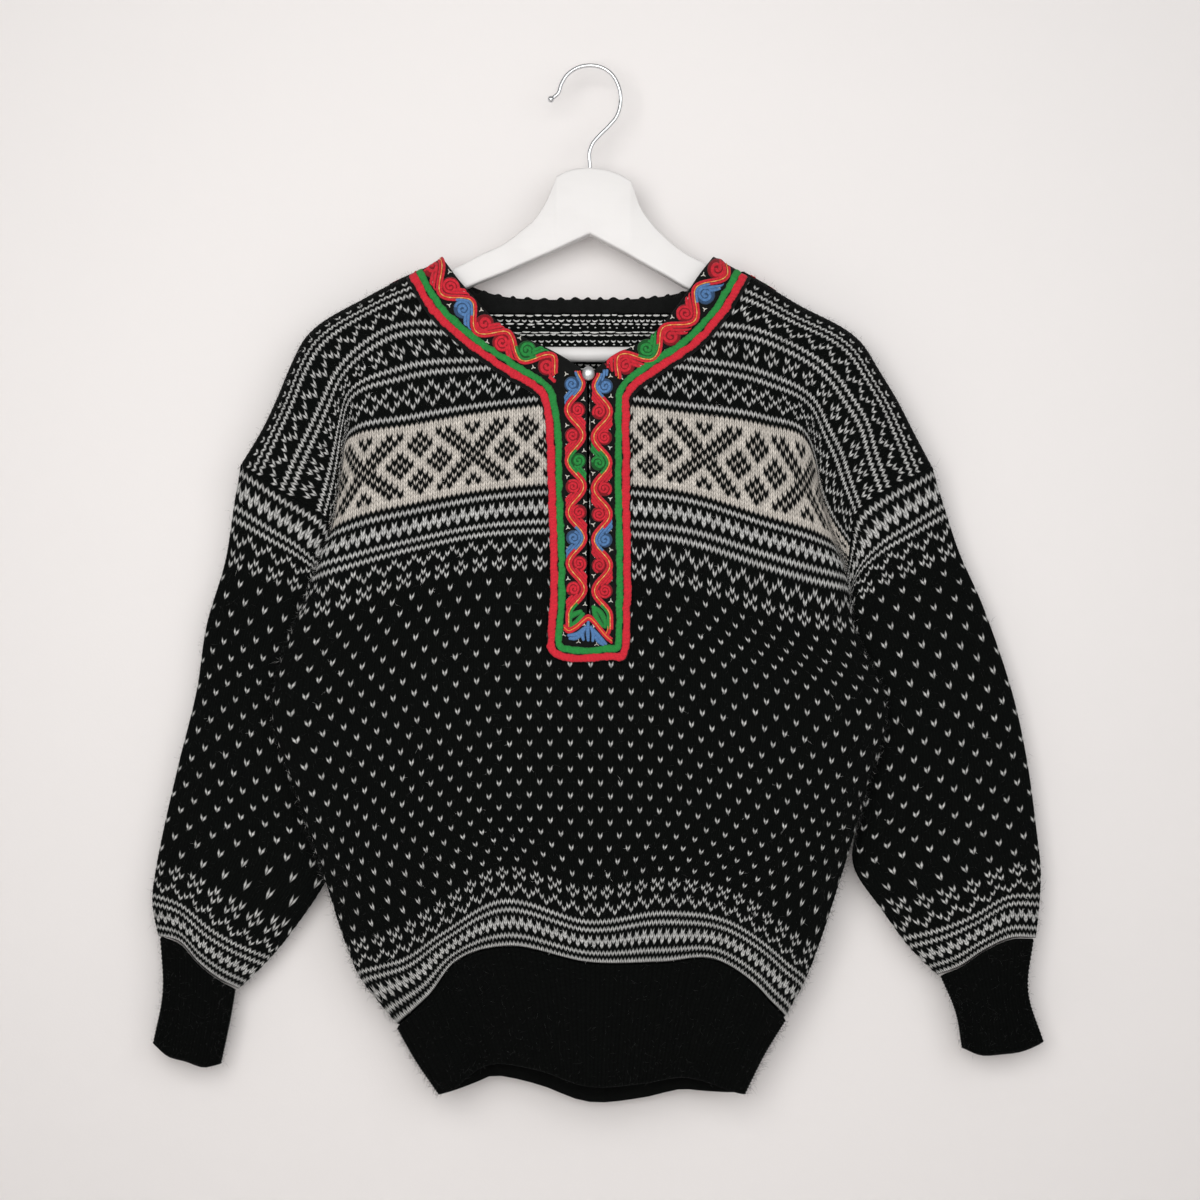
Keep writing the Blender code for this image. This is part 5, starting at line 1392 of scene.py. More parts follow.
def facing_mesh(colour):
    """Felt facing inside the back neck: a strip between two rows whose upper
    edge waves, with a rounded rim."""
    w = np.linspace(-FACING_HALF, FACING_HALF, 401)
    top = np.interp(np.abs(w), *np.transpose(FACING_TOP))
    wave = 0.5 - 0.5 * np.cos(2 * np.pi * w / 2.5 + 0.7 * np.sin(w * 0.45))
    top = top + 0.72 * wave * (0.8 + 0.3 * np.sin(w * 0.9)) - 0.2
    low = row_seen(w, FACING_SHOWN + 0.4 * np.sin(w * 1.9))
    rings = []
    section = [(0.0, 0.15), (0.0, 1.25), (0.04, 1.5), (0.3, 1.62), (0.6, 1.66), (0.95, 1.55),
               (1.0, 1.2), (1.0, 0.15), (0.5, 0.1)]
    for share, deep in section:
        v = low + (top - low) * share
        ripple = 0.35 * np.sin(w * 2.2 + share) * share
        place, n = hung(back, w, v)
        deep_in = KNIT + LIFT + (deep - 0.15) + ripple * (deep > 0.5)
        rings.append(place - n * (deep_in / 1000)[:, None])
    return ringed_piece("felt_facing", np.stack(rings, 1), colour)


def float_dashes(name, colours, seed):
    """Wrong side of the stranded knitting below the facing: for every row,
    short cords lie across the inside wherever the light yarn passes, in
    dashes, zigzags or dots in turn."""
    rng = np.random.default_rng(seed)
    bundle = Bundle()
    # height on the board, length of a dash and of a gap (wales), thickness
    # (mm), depth of the zigzag (rows)
    lines = ((315.6, 1.3, 0.3, 1.5, 0.10), (320.0, 0.85, 0.35, 1.4, 0.38),
             (324.6, 1.1, 0.5, 1.4, 0.05), (328.2, 0.35, 1.2, 1.2, 0.0),
             (332.4, 1.6, 0.15, 1.3, 0.12), (335.0, 1.2, 0.2, 1.3, 0.2),
             (340.6, 0.9, 0.5, 1.5, 0.40), (345.2, 0.35, 1.6, 1.2, 0.0),
             (350.0, 1.4, 0.3, 1.3, 0.1), (355.0, 0.9, 0.4, 1.3, 0.3),
             (360.0, 1.4, 0.3, 1.3, 0.1), (364.6, 0.9, 0.4, 1.4, 0.3),
             (369.4, 1.4, 0.3, 1.3, 0.1), (375.0, 0.6, 0.9, 1.3, 0.0))
    reach = 23.0
    for height, dash, gap, thick, zig in lines:
        w0 = -reach + rng.uniform(0, 1)
        while w0 < reach:
            long = dash * rng.uniform(0.75, 1.25)
            w = np.linspace(w0, w0 + long, 5)
            t = np.linspace(0.2, np.pi - 0.2, 5)
            v = row_seen(w, height) + zig * np.sin(t) + rng.normal(0, 0.05)
            place, n = hung(back, w, v)
            path = place - n * ((KNIT + 0.1 + 0.45 * np.sin(t)) / 1000)[:, None]
            fat = thick * np.sin(t) ** 0.5 * rng.uniform(0.85, 1.15)
            bundle.add(yarn_tube(path, n, fat * 1.15, fat, 5), colours[1] * rng.uniform(1.0, 1.4))
            w0 += long + gap * rng.uniform(0.7, 1.3)
    return bundle.mesh(name)


def fibres(name, legs, count, seed, palette):
    """Loose wool fibres, most of them where the cloth turns to the side.
    Each is a thin bent spindle: a root on a stitch, a three-sided waist and
    a tip further out."""
    rng = np.random.default_rng(seed)
    turned = 1.0 - np.abs(legs["normals"][:, 1])
    chance = 0.05 + turned ** 1.3
    pick = rng.choice(len(turned), count, p=chance / chance.sum())
    root, normal = legs["points"][pick], legs["normals"][pick]
    spin = rng.normal(size=(count, 3))
    flat = unit(spin - normal * (spin * normal).sum(1)[:, None])
    long = rng.uniform(*FIBRE_LONG, count)[:, None] * (0.5 + rng.random((count, 1)))
    rise = rng.uniform(0.15, 0.6, (count, 1))
    rise = rise + 0.6 * turned[pick][:, None] * rng.random((count, 1))
    bend = rng.normal(size=(count, 3)) * 0.45
    knee = root + (flat * 0.55 + normal * rise * 0.75 + bend * 0.12) * long / 1000
    tip = knee + (flat * 0.35 + normal * rise * 0.18 + bend * 0.35) * long / 1000
    along = unit(knee - root)
    side = unit(np.cross(along, normal))
    other = np.cross(along, side)
    angles = np.arange(3) * 2 * np.pi / 3
    waist = (knee[:, None] + (side[:, None] * np.cos(angles)[None, :, None]
                              + other[:, None] * np.sin(angles)[None, :, None])
             * FIBRE_THICK / 1000)
    points = np.concatenate([root[:, None], waist, tip[:, None]], 1).reshape(-1, 3)
    one = np.array([[0, 2, 1], [0, 3, 2], [0, 1, 3], [4, 1, 2], [4, 2, 3], [4, 3, 1]])
    one = face_outward(points[:5] - points[0], one)[1]
    faces = (np.arange(count)[:, None, None] * 5 + one).reshape(-1, 3)
    own = np.array(palette)[legs["yarn"][pick]]
    colours = own * rng.uniform(0.7, 1.5, (count, 1)) + rng.uniform(0.0, 0.05, (count, 1))
    return mesh_object(name, points, faces, np.repeat(colours, 18, 0))


# ------------------------------------------------------------- hard pieces
TO_THE_EYE = (0.0, -1.0, 0.0)


def rounded_section(half, top, low, soft, points=5):
    """Rounded rectangle as (depth, height) pairs, soft the corner radius."""
    corners = ((half - soft, top - soft, 0), (half - soft, low + soft, -90),
               (-half + soft, low + soft, -180), (-half + soft, top - soft, -270))
    out = []
    for y, z, start in corners:
        for a in np.radians(90 + start - np.linspace(0, 90, points)):
            out.append((y + soft * np.cos(a), z + soft * np.sin(a)))
    return np.array(out)


def hanger_mesh(colour):
    """Wooden hanger: a rounded section carried from tip to tip.  The arms and
    the neck follow smooth curves, the cheeks at the tips keep their steps."""
    table = np.array(WOOD, float)
    left, right = table[:WOOD_TIP], table[-WOOD_TIP:]
    core = table[WOOD_TIP - 1:1 - WOOD_TIP]
    corners = [0, *(int(np.argmin(np.abs(core[:, 0] - x))) for x in WOOD_CORNERS),
               len(core) - 1]
    dense = [left]
    for a, b in zip(corners[:-1], corners[1:]):
        part = core[a:b + 1]
        run = np.linspace(part[0, 0], part[-1, 0], 44)[1:]
        dense.append(np.column_stack([run, hermite(part[:, 0], part[:, 1:], run)]))
    dense = np.concatenate(dense[:-1] + [dense[-1][:-1], right])
    rings = []
    for column, top, low, half in dense:
        a, b = seen((column, top), 0.0), seen((column, low), 0.0)
        section = rounded_section(half, a[2] * 1000, b[2] * 1000, min(2.4, half * 0.5))
        rings.append(np.column_stack([np.full(len(section), a[0]), section / 1000]))
    obj = ringed_piece("painted_hanger", np.array(rings), colour)
    obj.data.set_sharp_from_angle(angle=math.radians(40))
    return obj


def bar_mesh(colour):
    """Turned trouser bar, very slightly thicker in its middle."""
    a, b = (seen((column, BAR_ROW), 0.0) for column in BAR_COLUMNS)
    t = np.linspace(0, 1, 40)[:, None]
    size = 2 * BAR_RADIUS * (0.985 + 0.015 * np.sin(np.pi * t[:, 0]))
    points, faces = yarn_tube(a + (b - a) * t, TO_THE_EYE, size, size, 28)
    points[-2:] = a, b
    obj = one_piece("turned_bar", (points, faces), colour)
    obj.data.set_sharp_from_angle(angle=math.radians(50))
    return obj


def hook_mesh(colour):
    """Bent wire: a round section along a smooth path, with a ball at its tip."""
    knots = np.array(HOOK_PATH, float)
    run = run_along(knots)
    at = np.concatenate([np.linspace(0, 7, 12), np.linspace(7.5, run[-1], 150)])
    path = seen(hermite(run, knots, at), np.zeros(len(at)))
    ball = np.sqrt(np.clip(1 - ((at - BALL_AT) / BALL_HALF) ** 2, 0, 1)) * HOOK_BALL
    size = 2 * np.maximum(ball, np.where(at > BALL_AT, HOOK_WIRE / 2, 0.25))
    return one_piece("wire_hook", yarn_tube(path, TO_THE_EYE, size, size, 18), colour)


def button_mesh(colour):
    """Cast ball button: a round turned about its own axis, flattened front to
    back, with a fine raised ring."""
    w, v = locate(np.array([BUTTON_AT]))
    rest = front(w, v)[0, 1] - (LIFT + FELT - 0.5) / 1000
    x, _, z = seen(BUTTON_AT, rest * 1000)
    centre = np.array([x, rest - BUTTON * BUTTON_FLAT / 1000, z])
    a = np.linspace(0, np.pi, 40)[1:-1]
    radius = BUTTON * np.sin(a) * (1 + 0.045 * np.exp(-((a - 1.05) / 0.08) ** 2))
    depth = -BUTTON * BUTTON_FLAT * np.cos(a)
    turn = np.linspace(0, 2 * np.pi, 41)[:-1]
    rings = np.stack([radius[:, None] * np.cos(turn), depth[:, None] + 0 * turn,
                      1.16 * radius[:, None] * np.sin(turn)], -1) / 1000 + centre
    ends = centre + np.array([[0, -BUTTON * BUTTON_FLAT, 0], [0, BUTTON * BUTTON_FLAT, 0]]) / 1000
    return one_piece("pewter_button", sweep(rings, *ends), colour)


# --------------------------------------------------------------- materials
class Wire:
    """A socket that carries numbers and takes part in Python expressions."""

    def __init__(self, look, socket):
        self.look, self.socket = look, socket

    def _math(self, operation, a, b=None):
        return self.look.node("ShaderNodeMath", {"operation": operation},
                              {0: a} if b is None else {0: a, 1: b})

    def __add__(self, other):
        return self._math("ADD", self, other)

    def __sub__(self, other):
        return self._math("SUBTRACT", self, other)

    def __mul__(self, other):
        return self._math("MULTIPLY", self, other)

    def __rsub__(self, other):
        return self._math("SUBTRACT", other, self)

    __radd__, __rmul__ = __add__, __mul__

    def size(self):
        return self._math("ABSOLUTE", self)

    def sine(self):
        return self._math("SINE", self)


class Look:
    """A material under construction, its shader's constants written with _
    for a space.  node() adds any node: its type, its settings, then what goes
    into its sockets; it returns its output."""

    def __init__(self, name, **constants):
        self.material = bpy.data.materials.new(name)
        self.material.use_nodes = True
        self.tree = self.material.node_tree
        self.shader = self.tree.nodes["Principled BSDF"]
        for key, value in constants.items():
            self.shader.inputs[key.replace("_", " ")].default_value = value

    def node(self, kind, settings=None, inputs=None, output=0):
        made = self.tree.nodes.new(kind)
        for key, value in (settings or {}).items():
            setattr(made, key, value)
        for key, value in (inputs or {}).items():
            self.join(value, made.inputs[key])
        return Wire(self, made.outputs[output])

    def join(self, value, socket):
        if isinstance(value, Wire):
            self.tree.links.new(value.socket, socket)
        else:
            solid = socket.type == "RGBA" and isinstance(value, tuple) and len(value) == 3
            socket.default_value = (*value, 1.0) if solid else value

    def feed(self, name, value):
        """Link or set one of the shader's own sockets."""
        self.join(value, self.shader.inputs[name])

    def mix(self, share, a, b, blend="MIX"):
        """Colour between a and b."""
        return self.node("ShaderNodeMix", {"data_type": "RGBA", "blend_type": blend,
                                           "clamp_factor": True},
                         {0: share, 6: a, 7: b}, 2)

    def yarn(self):
        """The piece's own colour."""
        return self.node("ShaderNodeAttribute", {"attribute_name": "yarn"}, output="Color")

    def shaded(self, tone):
        """The piece's own colour times a tone."""
        grey = self.node("ShaderNodeCombineXYZ", None, {0: tone, 1: tone, 2: tone})
        return self.mix(1.0, self.yarn(), grey, "MULTIPLY")

    def place(self):
        return self.node("ShaderNodeTexCoord", output="Object")

    def noise(self, scale, detail=3.0, rough=0.55, vector=None):
        return self.node("ShaderNodeTexNoise", None,
                         {"Vector": vector or self.place(), "Scale": scale,
                          "Detail": detail, "Roughness": rough})

    def between(self, value, low, high, to_low=0.0, to_high=1.0):
        """Eased step of a value from low to high."""
        return self.node("ShaderNodeMapRange", {"interpolation_type": "SMOOTHSTEP"},
                         {0: value, 1: low, 2: high, 3: to_low, 4: to_high})

    def bump(self, height, distance, strength=1.0):
        self.feed("Normal", self.node("ShaderNodeBump", None,
                                      {"Strength": strength, "Distance": distance,
                                       "Height": height}))


def wool_look(name):
    """Knitted wool: each leg is a twisted two-ply strand with painted shade
    in its furrows and at its ends, fine fibres and uneven dyeing."""
    look = Look(name, Roughness=0.93, Specular_IOR_Level=0.07, Sheen_Weight=0.02,
                Sheen_Roughness=0.55, Sheen_Tint=(0.55, 0.56, 0.58, 1.0))
    leg = look.node("ShaderNodeUVMap", {"uv_map": "leg"})
    across = look.node("ShaderNodeSeparateXYZ", None, {0: leg}, output="X")
    along = Wire(look, across.socket.node.outputs["Y"])
    off_middle, end = ((way - 0.5).size() * 2.0 for way in (across, along))
    fibre = look.noise(2600.0, 4.0, 0.65)
    blotch = look.noise(190.0, 3.0, 0.6)
    ply = (along * 9.0 + across * 3.2 + fibre * 0.8).sine()
    # painted shade: each leg is darker toward its sides and its ends, where the furrows and the
    # next row lie
    painted_furrow_shade = (look.between(off_middle, 0.45, 1.02, 1.0, 0.45)
              * look.between(end, 0.58, 1.03, 1.0, 0.45))
    grain = (look.between(fibre, 0.30, 0.72, 0.80, 1.20)
             * look.between(blotch, 0.3, 0.7, 0.86, 1.10))
    hair = look.between(look.noise(5200.0, 2.0, 0.7), 0.66, 0.80, 0.0, 0.245)
    look.feed("Base Color", look.mix(hair, look.shaded(painted_furrow_shade * grain), (0.14, 0.14, 0.14)))
    round_up = 1 - off_middle * off_middle
    look.bump(round_up * 0.55 + ply * 0.10 + fibre * 0.30, 0.0006, 0.55)
    return look.material


def thread_look(name):
    """Smooth woollen thread: its own colour, darkened between fibres."""
    look = Look(name, Roughness=0.82, Specular_IOR_Level=0.2, Sheen_Weight=0.08,
                Sheen_Roughness=0.5)
    fibre = look.noise(3400.0, 4.0, 0.65)
    strand = look.noise(1100.0, 2.0, 0.5)
    grain = (look.between(fibre, 0.28, 0.72, 0.72, 1.16)
             * look.between(strand, 0.3, 0.7, 0.86, 1.08))
    look.feed("Base Color", look.shaded(grain))
    look.bump(fibre * 0.6 + strand * 0.6, 0.0005, 0.6)
    return look.material


def felt_look(name):
    """Fulled wool felt: a fine, matted surface with stray light fibres."""
    look = Look(name, Roughness=0.96, Specular_IOR_Level=0.1, Sheen_Weight=0.04,
                Sheen_Roughness=0.6)
    mat = look.noise(1500.0, 5.0, 0.7)
    cloud = look.noise(160.0, 2.0, 0.5)
    tone = look.between(mat, 0.3, 0.7, 0.6, 1.5) * look.between(cloud, 0.3, 0.7, 0.85, 1.15)
    stray = look.between(look.noise(4200.0, 2.0, 0.7), 0.68, 0.8, 0.0, 0.18)
    look.feed("Base Color", look.mix(stray, look.shaded(tone), (0.10, 0.10, 0.10)))
    look.bump(mat, 0.0006, 0.5)
    return look.material


def paint_look(name):
    """Satin paint over wood: faint brush lines, slightly greyer in places."""
    look = Look(name, Coat_Weight=0.05)
    drawn = look.node("ShaderNodeMapping", None,
                      {"Vector": look.place(), "Scale": (0.6, 6.0, 6.0)})
    brush = look.noise(60.0, 4.0, 0.6, drawn)
    cloud = look.between(look.noise(25.0, 2.0), 0.4, 0.75, 0.0, 0.35)
    look.feed("Base Color", look.mix(cloud, look.yarn(), (0.64, 0.625, 0.615)))
    look.feed("Roughness", look.between(brush, 0.3, 0.7, 0.46, 0.58))
    look.bump(brush, 0.0004, 0.25)
    return look.material


def metal_look(name, colour, rough, dark, scale):
    """Metal with fine wear: darker film in soft clouds, scratches in its
    roughness."""
    look = Look(name, Metallic=1.0)
    film = look.noise(scale, 4.0, 0.6)
    scratch = look.noise(scale * 12, 3.0, 0.7)
    look.feed("Base Color", look.mix(look.between(film, 0.35, 0.72), colour, dark))
    look.feed("Roughness", look.between(scratch, 0.3, 0.7, rough * 0.75, rough * 1.5))
    look.bump(film * 0.5 + scratch * 0.3, 0.0002, 0.3)
    return look.material


def wall_look(name, colour):
    """Matt painted wall, seen from the front only."""
    look = Look(name, Roughness=0.95)
    cloud = look.noise(1.6, 3.0, 0.5)
    look.feed("Base Color", look.mix(look.between(cloud, 0.3, 0.7), colour,
                                     tuple(c * 0.985 for c in colour)))
    look.bump(look.noise(420.0, 3.0), 0.0004, 0.15)
    clear = look.node("ShaderNodeBsdfTransparent")
    back_side = look.node("ShaderNodeNewGeometry", output="Backfacing")
    out = look.tree.nodes["Material Output"]
    both = look.node("ShaderNodeMixShader", None,
                     {0: back_side, 1: Wire(look, look.shader.outputs[0]), 2: clear})
    look.tree.links.new(both.socket, out.inputs["Surface"])
    return look.material


# ------------------------------------------------------- settings by the user
def tint(name, description, default):
    return bpy.props.FloatVectorProperty(name=name, description=description, default=default,
                                         size=3, min=0.0, max=1.0, subtype="COLOR")


def number(name, description, default, **limits):
    return bpy.props.FloatProperty(name=name, description=description, default=default,
                                   **{"min": 0.0, **limits})


class KnitSettings(bpy.types.PropertyGroup):
    """Yarns and stitches of the knitting."""
    dark: tint("Dark yarn", "Main yarn of the body, sleeves and ribs", (0.0019, 0.0026, 0.0022))
    light: tint("Light yarn", "Yarn of the figures and flecks", (0.575, 0.575, 0.56))
    ecru: tint("Ecru yarn", "Ground of the wide band", (0.585, 0.543, 0.488))
    rise: number("Stitch height", "How far a stitch's legs stand proud (mm)", 0.34, max=1.0)
    furrow: number("Furrow depth", "How deep the furrows between wales lie (mm)", 0.42, max=1.0)
    lean: number("Leg lean", "Rows by which the legs of a stitch lean", 0.42, max=0.6)
    crowding: number("Crowding", "How far dark yarn closes over light yarn", 0.74, max=1.0)
    fibres: bpy.props.IntProperty(name="Loose fibres", default=13000, min=0, max=20000,
                                  description="Wool fibres that stand off the front")


class TrimSettings(bpy.types.PropertyGroup):
    """Colours of the neck band."""
    felt: tint("Felt", "Felt of the neck band and the facing", (0.0046, 0.0050, 0.0048))
    red: tint("Red wool", "Red edging and embroidery", (0.60, 0.018, 0.035))
    green: tint("Green wool", "Green edging and embroidery", (0.018, 0.235, 0.045))
    blue: tint("Blue wool", "Blue embroidery", (0.085, 0.20, 0.42))
    orange: tint("Orange core", "Darker part of the scroll's core", (0.82, 0.22, 0.05))
    yellow: tint("Yellow core", "Lighter part of the scroll's core", (0.85, 0.50, 0.16))
    white: tint("White stitches", "Small stitches in the corners", (0.62, 0.60, 0.54))


class HangerSettings(bpy.types.PropertyGroup):
    """Finishes of the hanger."""
    paint: tint("Paint", "White paint of the wood", (0.72, 0.708, 0.70))
    steel: tint("Steel", "Wire of the hook", (0.23, 0.235, 0.235))
    pewter: tint("Pewter", "Throat button", (0.20, 0.205, 0.205))


class StageSettings(bpy.types.PropertyGroup):
    """Wall, floor, camera and light."""
    wall: tint("Wall", "Matt wall behind the pullover", (0.80, 0.775, 0.765))
    distance: number("Camera distance", "From the camera to the pullover", 1.5, min=0.5,
                     unit="LENGTH")
    lens: number("Lens", "Focal length of the camera", 54.0, min=20.0, unit="CAMERA")
    light: number("Light", "Strength of all lights", 1.0)


def settings():
    return bpy.context.scene.pullover


class PulloverSettings(bpy.types.PropertyGroup):
    """All settings of the pullover."""
    knit: bpy.props.PointerProperty(type=KnitSettings)
    trim: bpy.props.PointerProperty(type=TrimSettings)
    hanger: bpy.props.PointerProperty(type=HangerSettings)
    stage: bpy.props.PointerProperty(type=StageSettings)


def relief():
    knit = settings().knit
    return knit.furrow, knit.furrow * 0.45, knit.rise, knit.lean


def yarns():
    knit = settings().knit
    return np.array([tuple(knit.dark), tuple(knit.light), tuple(knit.ecru)])


def shared(name, make, *values):
    """One material for all pieces of a finish."""
    return bpy.data.materials.get(name) or make(name, *values)


def finish_piece(obj, material, slot, *nodes):
    """Give a piece its material and its place in the frame."""
    obj.data.materials.append(material)
    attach(obj, "root")
    if nodes:
        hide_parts(*nodes)
    return obj


def knitted(name, slot, node, result, fibre_count, seed, colours, more=()):
    """Object and loose fibres of a knitted shell."""
    points, faces, yarn, shade, crowd, spots, legs = result
    tone = (colours[yarn] * shade[:, None])[:, None]
    closing = settings().knit.crowding * np.where(yarn == ECRU, 1.25, 1.0)[:, None, None]
    tone = tone + (colours[DARK] - tone) * crowd[..., None] * closing
    obj = mesh_object(name, points, faces, tone, spots)
    finish_piece(obj, shared("stranded_wool", wool_look), slot, node)
    loose = list(more)
    if fibre_count:
        hair = fibres(name + "_fibres", legs, fibre_count, seed, colours)
        loose.append(finish_piece(hair, shared("loose_fibres", thread_look), slot))


# ---------------------------------------------------------------- operators
def knit_panel(surface, inner_step, inner_rows, seed, neck, **more):
    """Knitted shell of a body panel, cut out along its neck line."""
    side = int(SIDE_WALE)
    return shell(lambda w, v: hung(surface, w, drawn_up(w, v)), (-side, side),
                 int(BODY_ROWS), body_chart, relief(), np.arange(-side, side + 1, inner_step),
                 np.concatenate([*inner_rows, [BODY_ROWS]]), seed,
                 lambda w: np.interp(np.abs(w), *np.transpose(neck)), **more)


class PULLOVER_OT_front(bpy.types.Operator):
    """Knit the front panel."""
    bl_idname, bl_label = "pullover.front", "Front panel"

    def execute(self, context):
        result = knit_panel(front, 2.0, [np.arange(0, 154, 3.0)], 11, NECK_FRONT, doubled=True)
        knitted("knitted_front", "knit", "front", result, settings().knit.fibres, 21,
                yarns())
        return {"FINISHED"}


class PULLOVER_OT_back(bpy.types.Operator):
    """Knit the back panel; its wrong side shows through the neck."""
    bl_idname, bl_label = "pullover.back", "Back panel"

    def execute(self, context):
        rows = np.arange(0, 38, 1.0), np.arange(38, 154, 4.0)
        result = knit_panel(back, 1.0, rows, 12, NECK_BACK, wrong_side=0.3)
        knitted("knitted_back", "knit", "back", result, settings().knit.fibres * 2 // 3, 22,
                yarns(),
                [finish_piece(float_dashes("inside_floats", yarns(), 23),
                              shared("loose_fibres", thread_look), "knit")])
        return {"FINISHED"}


class PULLOVER_OT_sleeves(bpy.types.Operator):
    """Knit both sleeves."""
    bl_idname, bl_label = "pullover.sleeves", "Sleeves"

    def execute(self, context):
        rows = np.concatenate([np.arange(0, 100, 3.0), [SLEEVE_ROWS]])
        for name, table, side, seed in (("left", SLEEVE_LEFT, -1, 13),
                                        ("right", SLEEVE_RIGHT, 1, 14)):
            result = shell(sleeve_surface(table, side), (0, SLEEVE_WALES), int(SLEEVE_ROWS),
                           sleeve_chart, relief(), np.arange(0, SLEEVE_WALES + 1, 2.0), rows,
                           seed, closed=True)
            knitted("knitted_sleeve_" + name, "knit", "sleeve_" + name, result,
                    settings().knit.fibres // 3, seed + 10,
                    yarns())
        return {"FINISHED"}


class PULLOVER_OT_ribs(bpy.types.Operator):
    """Knit the hem and the cuffs."""
    bl_idname, bl_label = "pullover.ribs", "Hem and cuffs"

    def execute(self, context):
        def ribbed(surface, wales, rows, step, seed):
            return shell(surface, (0, wales), rows, plain_chart, RIB_RELIEF,
                         np.arange(0, wales + 1, step), np.linspace(0, rows, 10), seed,
                         closed=True, thick=KNIT - 0.4)

        result = ribbed(hem_surface(HEM_STITCHES), 2 * HEM_RIBS, HEM_STITCHES, 2.0, 15)
        knitted("ribbed_hem", "rib", "hem_rib", result, settings().knit.fibres // 5, 31,
                yarns() * 0.85)
        for name, table, side, seed in (("left", CUFF_LEFT, -1, 16), ("right", CUFF_RIGHT, 1, 17)):
            result = ribbed(cuff_surface(table, side, CUFF_STITCHES), CUFF_RIBS, CUFF_STITCHES,
                            1.0, seed)
            knitted("ribbed_cuff_" + name, "rib", "cuff_" + name, result,
                    settings().knit.fibres // 16, seed + 20,
                    yarns() * 0.85)
        return {"FINISHED"}


STRIPS = {}


def strips():
    """The two bands' surfaces, worked out once."""
    if not STRIPS:
        STRIPS["front"], STRIPS["back"] = front_strip(), back_strip()
    return STRIPS


class PULLOVER_OT_bands(bpy.types.Operator):
    """Cut the felt bands and sew the wool edgings on."""
    bl_idname, bl_label = "pullover.bands", "Neck band and edgings"

    def execute(self, context):
        trim = settings().trim
        felt, thread = shared("wool_felt", felt_look), shared("wool_thread", thread_look)
        for key, tail, flat in (("front", "", (0.05, 0.80)), ("back", "_back", (0.05, 0.25))):
            strip = strips()[key]
            band = felt_band(strip, "felt_band" + tail, tuple(trim.felt))
            finish_piece(band, felt, "felt", "neck_band" + tail)
            for name, middle, half, seed in CORDS:
                lane = (front_lane(set_in(middle), CORD_REACH) if key == "front"
                        else back_lane(strip, middle, CORD_REACH))
                colour = tuple(getattr(trim, name))
                cord = edging(lane, name + "_edging" + tail, colour, seed, half)
                finish_piece(cord, thread, name + "_wool", "edging_" + name + tail)
        facing_piece = facing_mesh(tuple(trim.felt))
        finish_piece(facing_piece, felt, "felt", "neck_facing")
        return {"FINISHED"}


class PULLOVER_OT_embroidery(bpy.types.Operator):
    """Embroider the bands with scroll, rosettes and small stitches."""
    bl_idname, bl_label = "pullover.embroidery", "Embroidery"

    def execute(self, context):
        trim = settings().trim
        palette = {k: np.array(tuple(getattr(trim, k)))
                   for k in ("red", "green", "blue", "orange", "yellow", "white")}
        thread = shared("wool_thread", thread_look)
        strip = strips()["front"]
        bundle = Bundle()
        # (line, turned, first station, pitch, bays, side of the first, half width)
        neck = (strip.middle[strip.run <= SLIT_STEPS[0]],
                strip.middle[strip.run >= SLIT_STEPS[1]][::-1])
        slit = ([(574.6, 370), (575.5, 450), (576.6, 540), (576.6, 632)],
                [(602.8, 370), (601.4, 450), (602.0, 540), (602.4, 632)])
        for line, turned, first, pitch, bays, side, half in (
                (neck[0], False, 1.0, 25.4, NECK_BAYS, -1.0, 12.2),
                (neck[1], True, 8.5, 26.8, NECK_BAYS[1:] + ("small",), 1.0, 12.2),
                (slit[0], False, 15.0, BAY_PITCH, SLIT_BAYS, -1.0, SLIT_VINE),
                (slit[1], True, 17.0, BAY_PITCH, SLIT_BAYS, -1.0, SLIT_VINE)):
            places = first + pitch * np.arange(len(bays))
            if bays[-1] == "small":
                places[-1] -= 9.5
            sides = side * (-1.0) ** np.arange(len(bays))
            ends = (0.1, -0.6) if half > 11 else (0.4, -1.0)
            lane = front_lane(line[::-1] if turned else line, half + 3.0)
            if turned:
                places, sides, bays = (lane.run[-1] - places)[::-1], sides[::-1], bays[::-1]
                ends = ends[::-1]
            scroll(lane, bundle, places, sides, bays, palette, 51 + int(first), half, ends)
        foot_motif(bundle, palette)
        finish_piece(bundle.mesh("embroidery"), thread, "red_wool")
        bundle = Bundle()
        lane = back_lane(strips()["back"], 32.4, 14.5)
        count = int(lane.run[-1] / 24.4) - 1
        places = np.linspace(14.0, lane.run[-1] - 14.0, count)
        bays = (("red", "red", "blue", "red", "red", "green") * 3)[:count]
        scroll(lane, bundle, places, (-1.0) ** np.arange(count), bays, palette, 61, 10.8)
        finish_piece(bundle.mesh("embroidery_back"), thread, "red_wool")
        return {"FINISHED"}


class PULLOVER_OT_hanger(bpy.types.Operator):
    """Make the hanger, its bar and hook, and the throat button."""
    bl_idname, bl_label = "pullover.hanger", "Hanger and button"

    def execute(self, context):
        own = settings().hanger
        paint = shared("white_paint", paint_look)
        finish_piece(hanger_mesh(tuple(own.paint)), paint, "painted_wood", "hanger")
        finish_piece(bar_mesh(tuple(own.paint)), paint, "painted_wood", "trouser_bar")
        steel, pewter = tuple(own.steel), tuple(own.pewter)
        wire = shared("steel_wire", metal_look, steel, 0.26, (0.11, 0.115, 0.115), 260.0)
        cast = shared("pewter", metal_look, pewter, 0.34, (0.16, 0.16, 0.16), 420.0)
        finish_piece(hook_mesh(steel), wire, "steel_wire", "hook")
        finish_piece(button_mesh(pewter), cast, "pewter", "button")
        return {"FINISHED"}


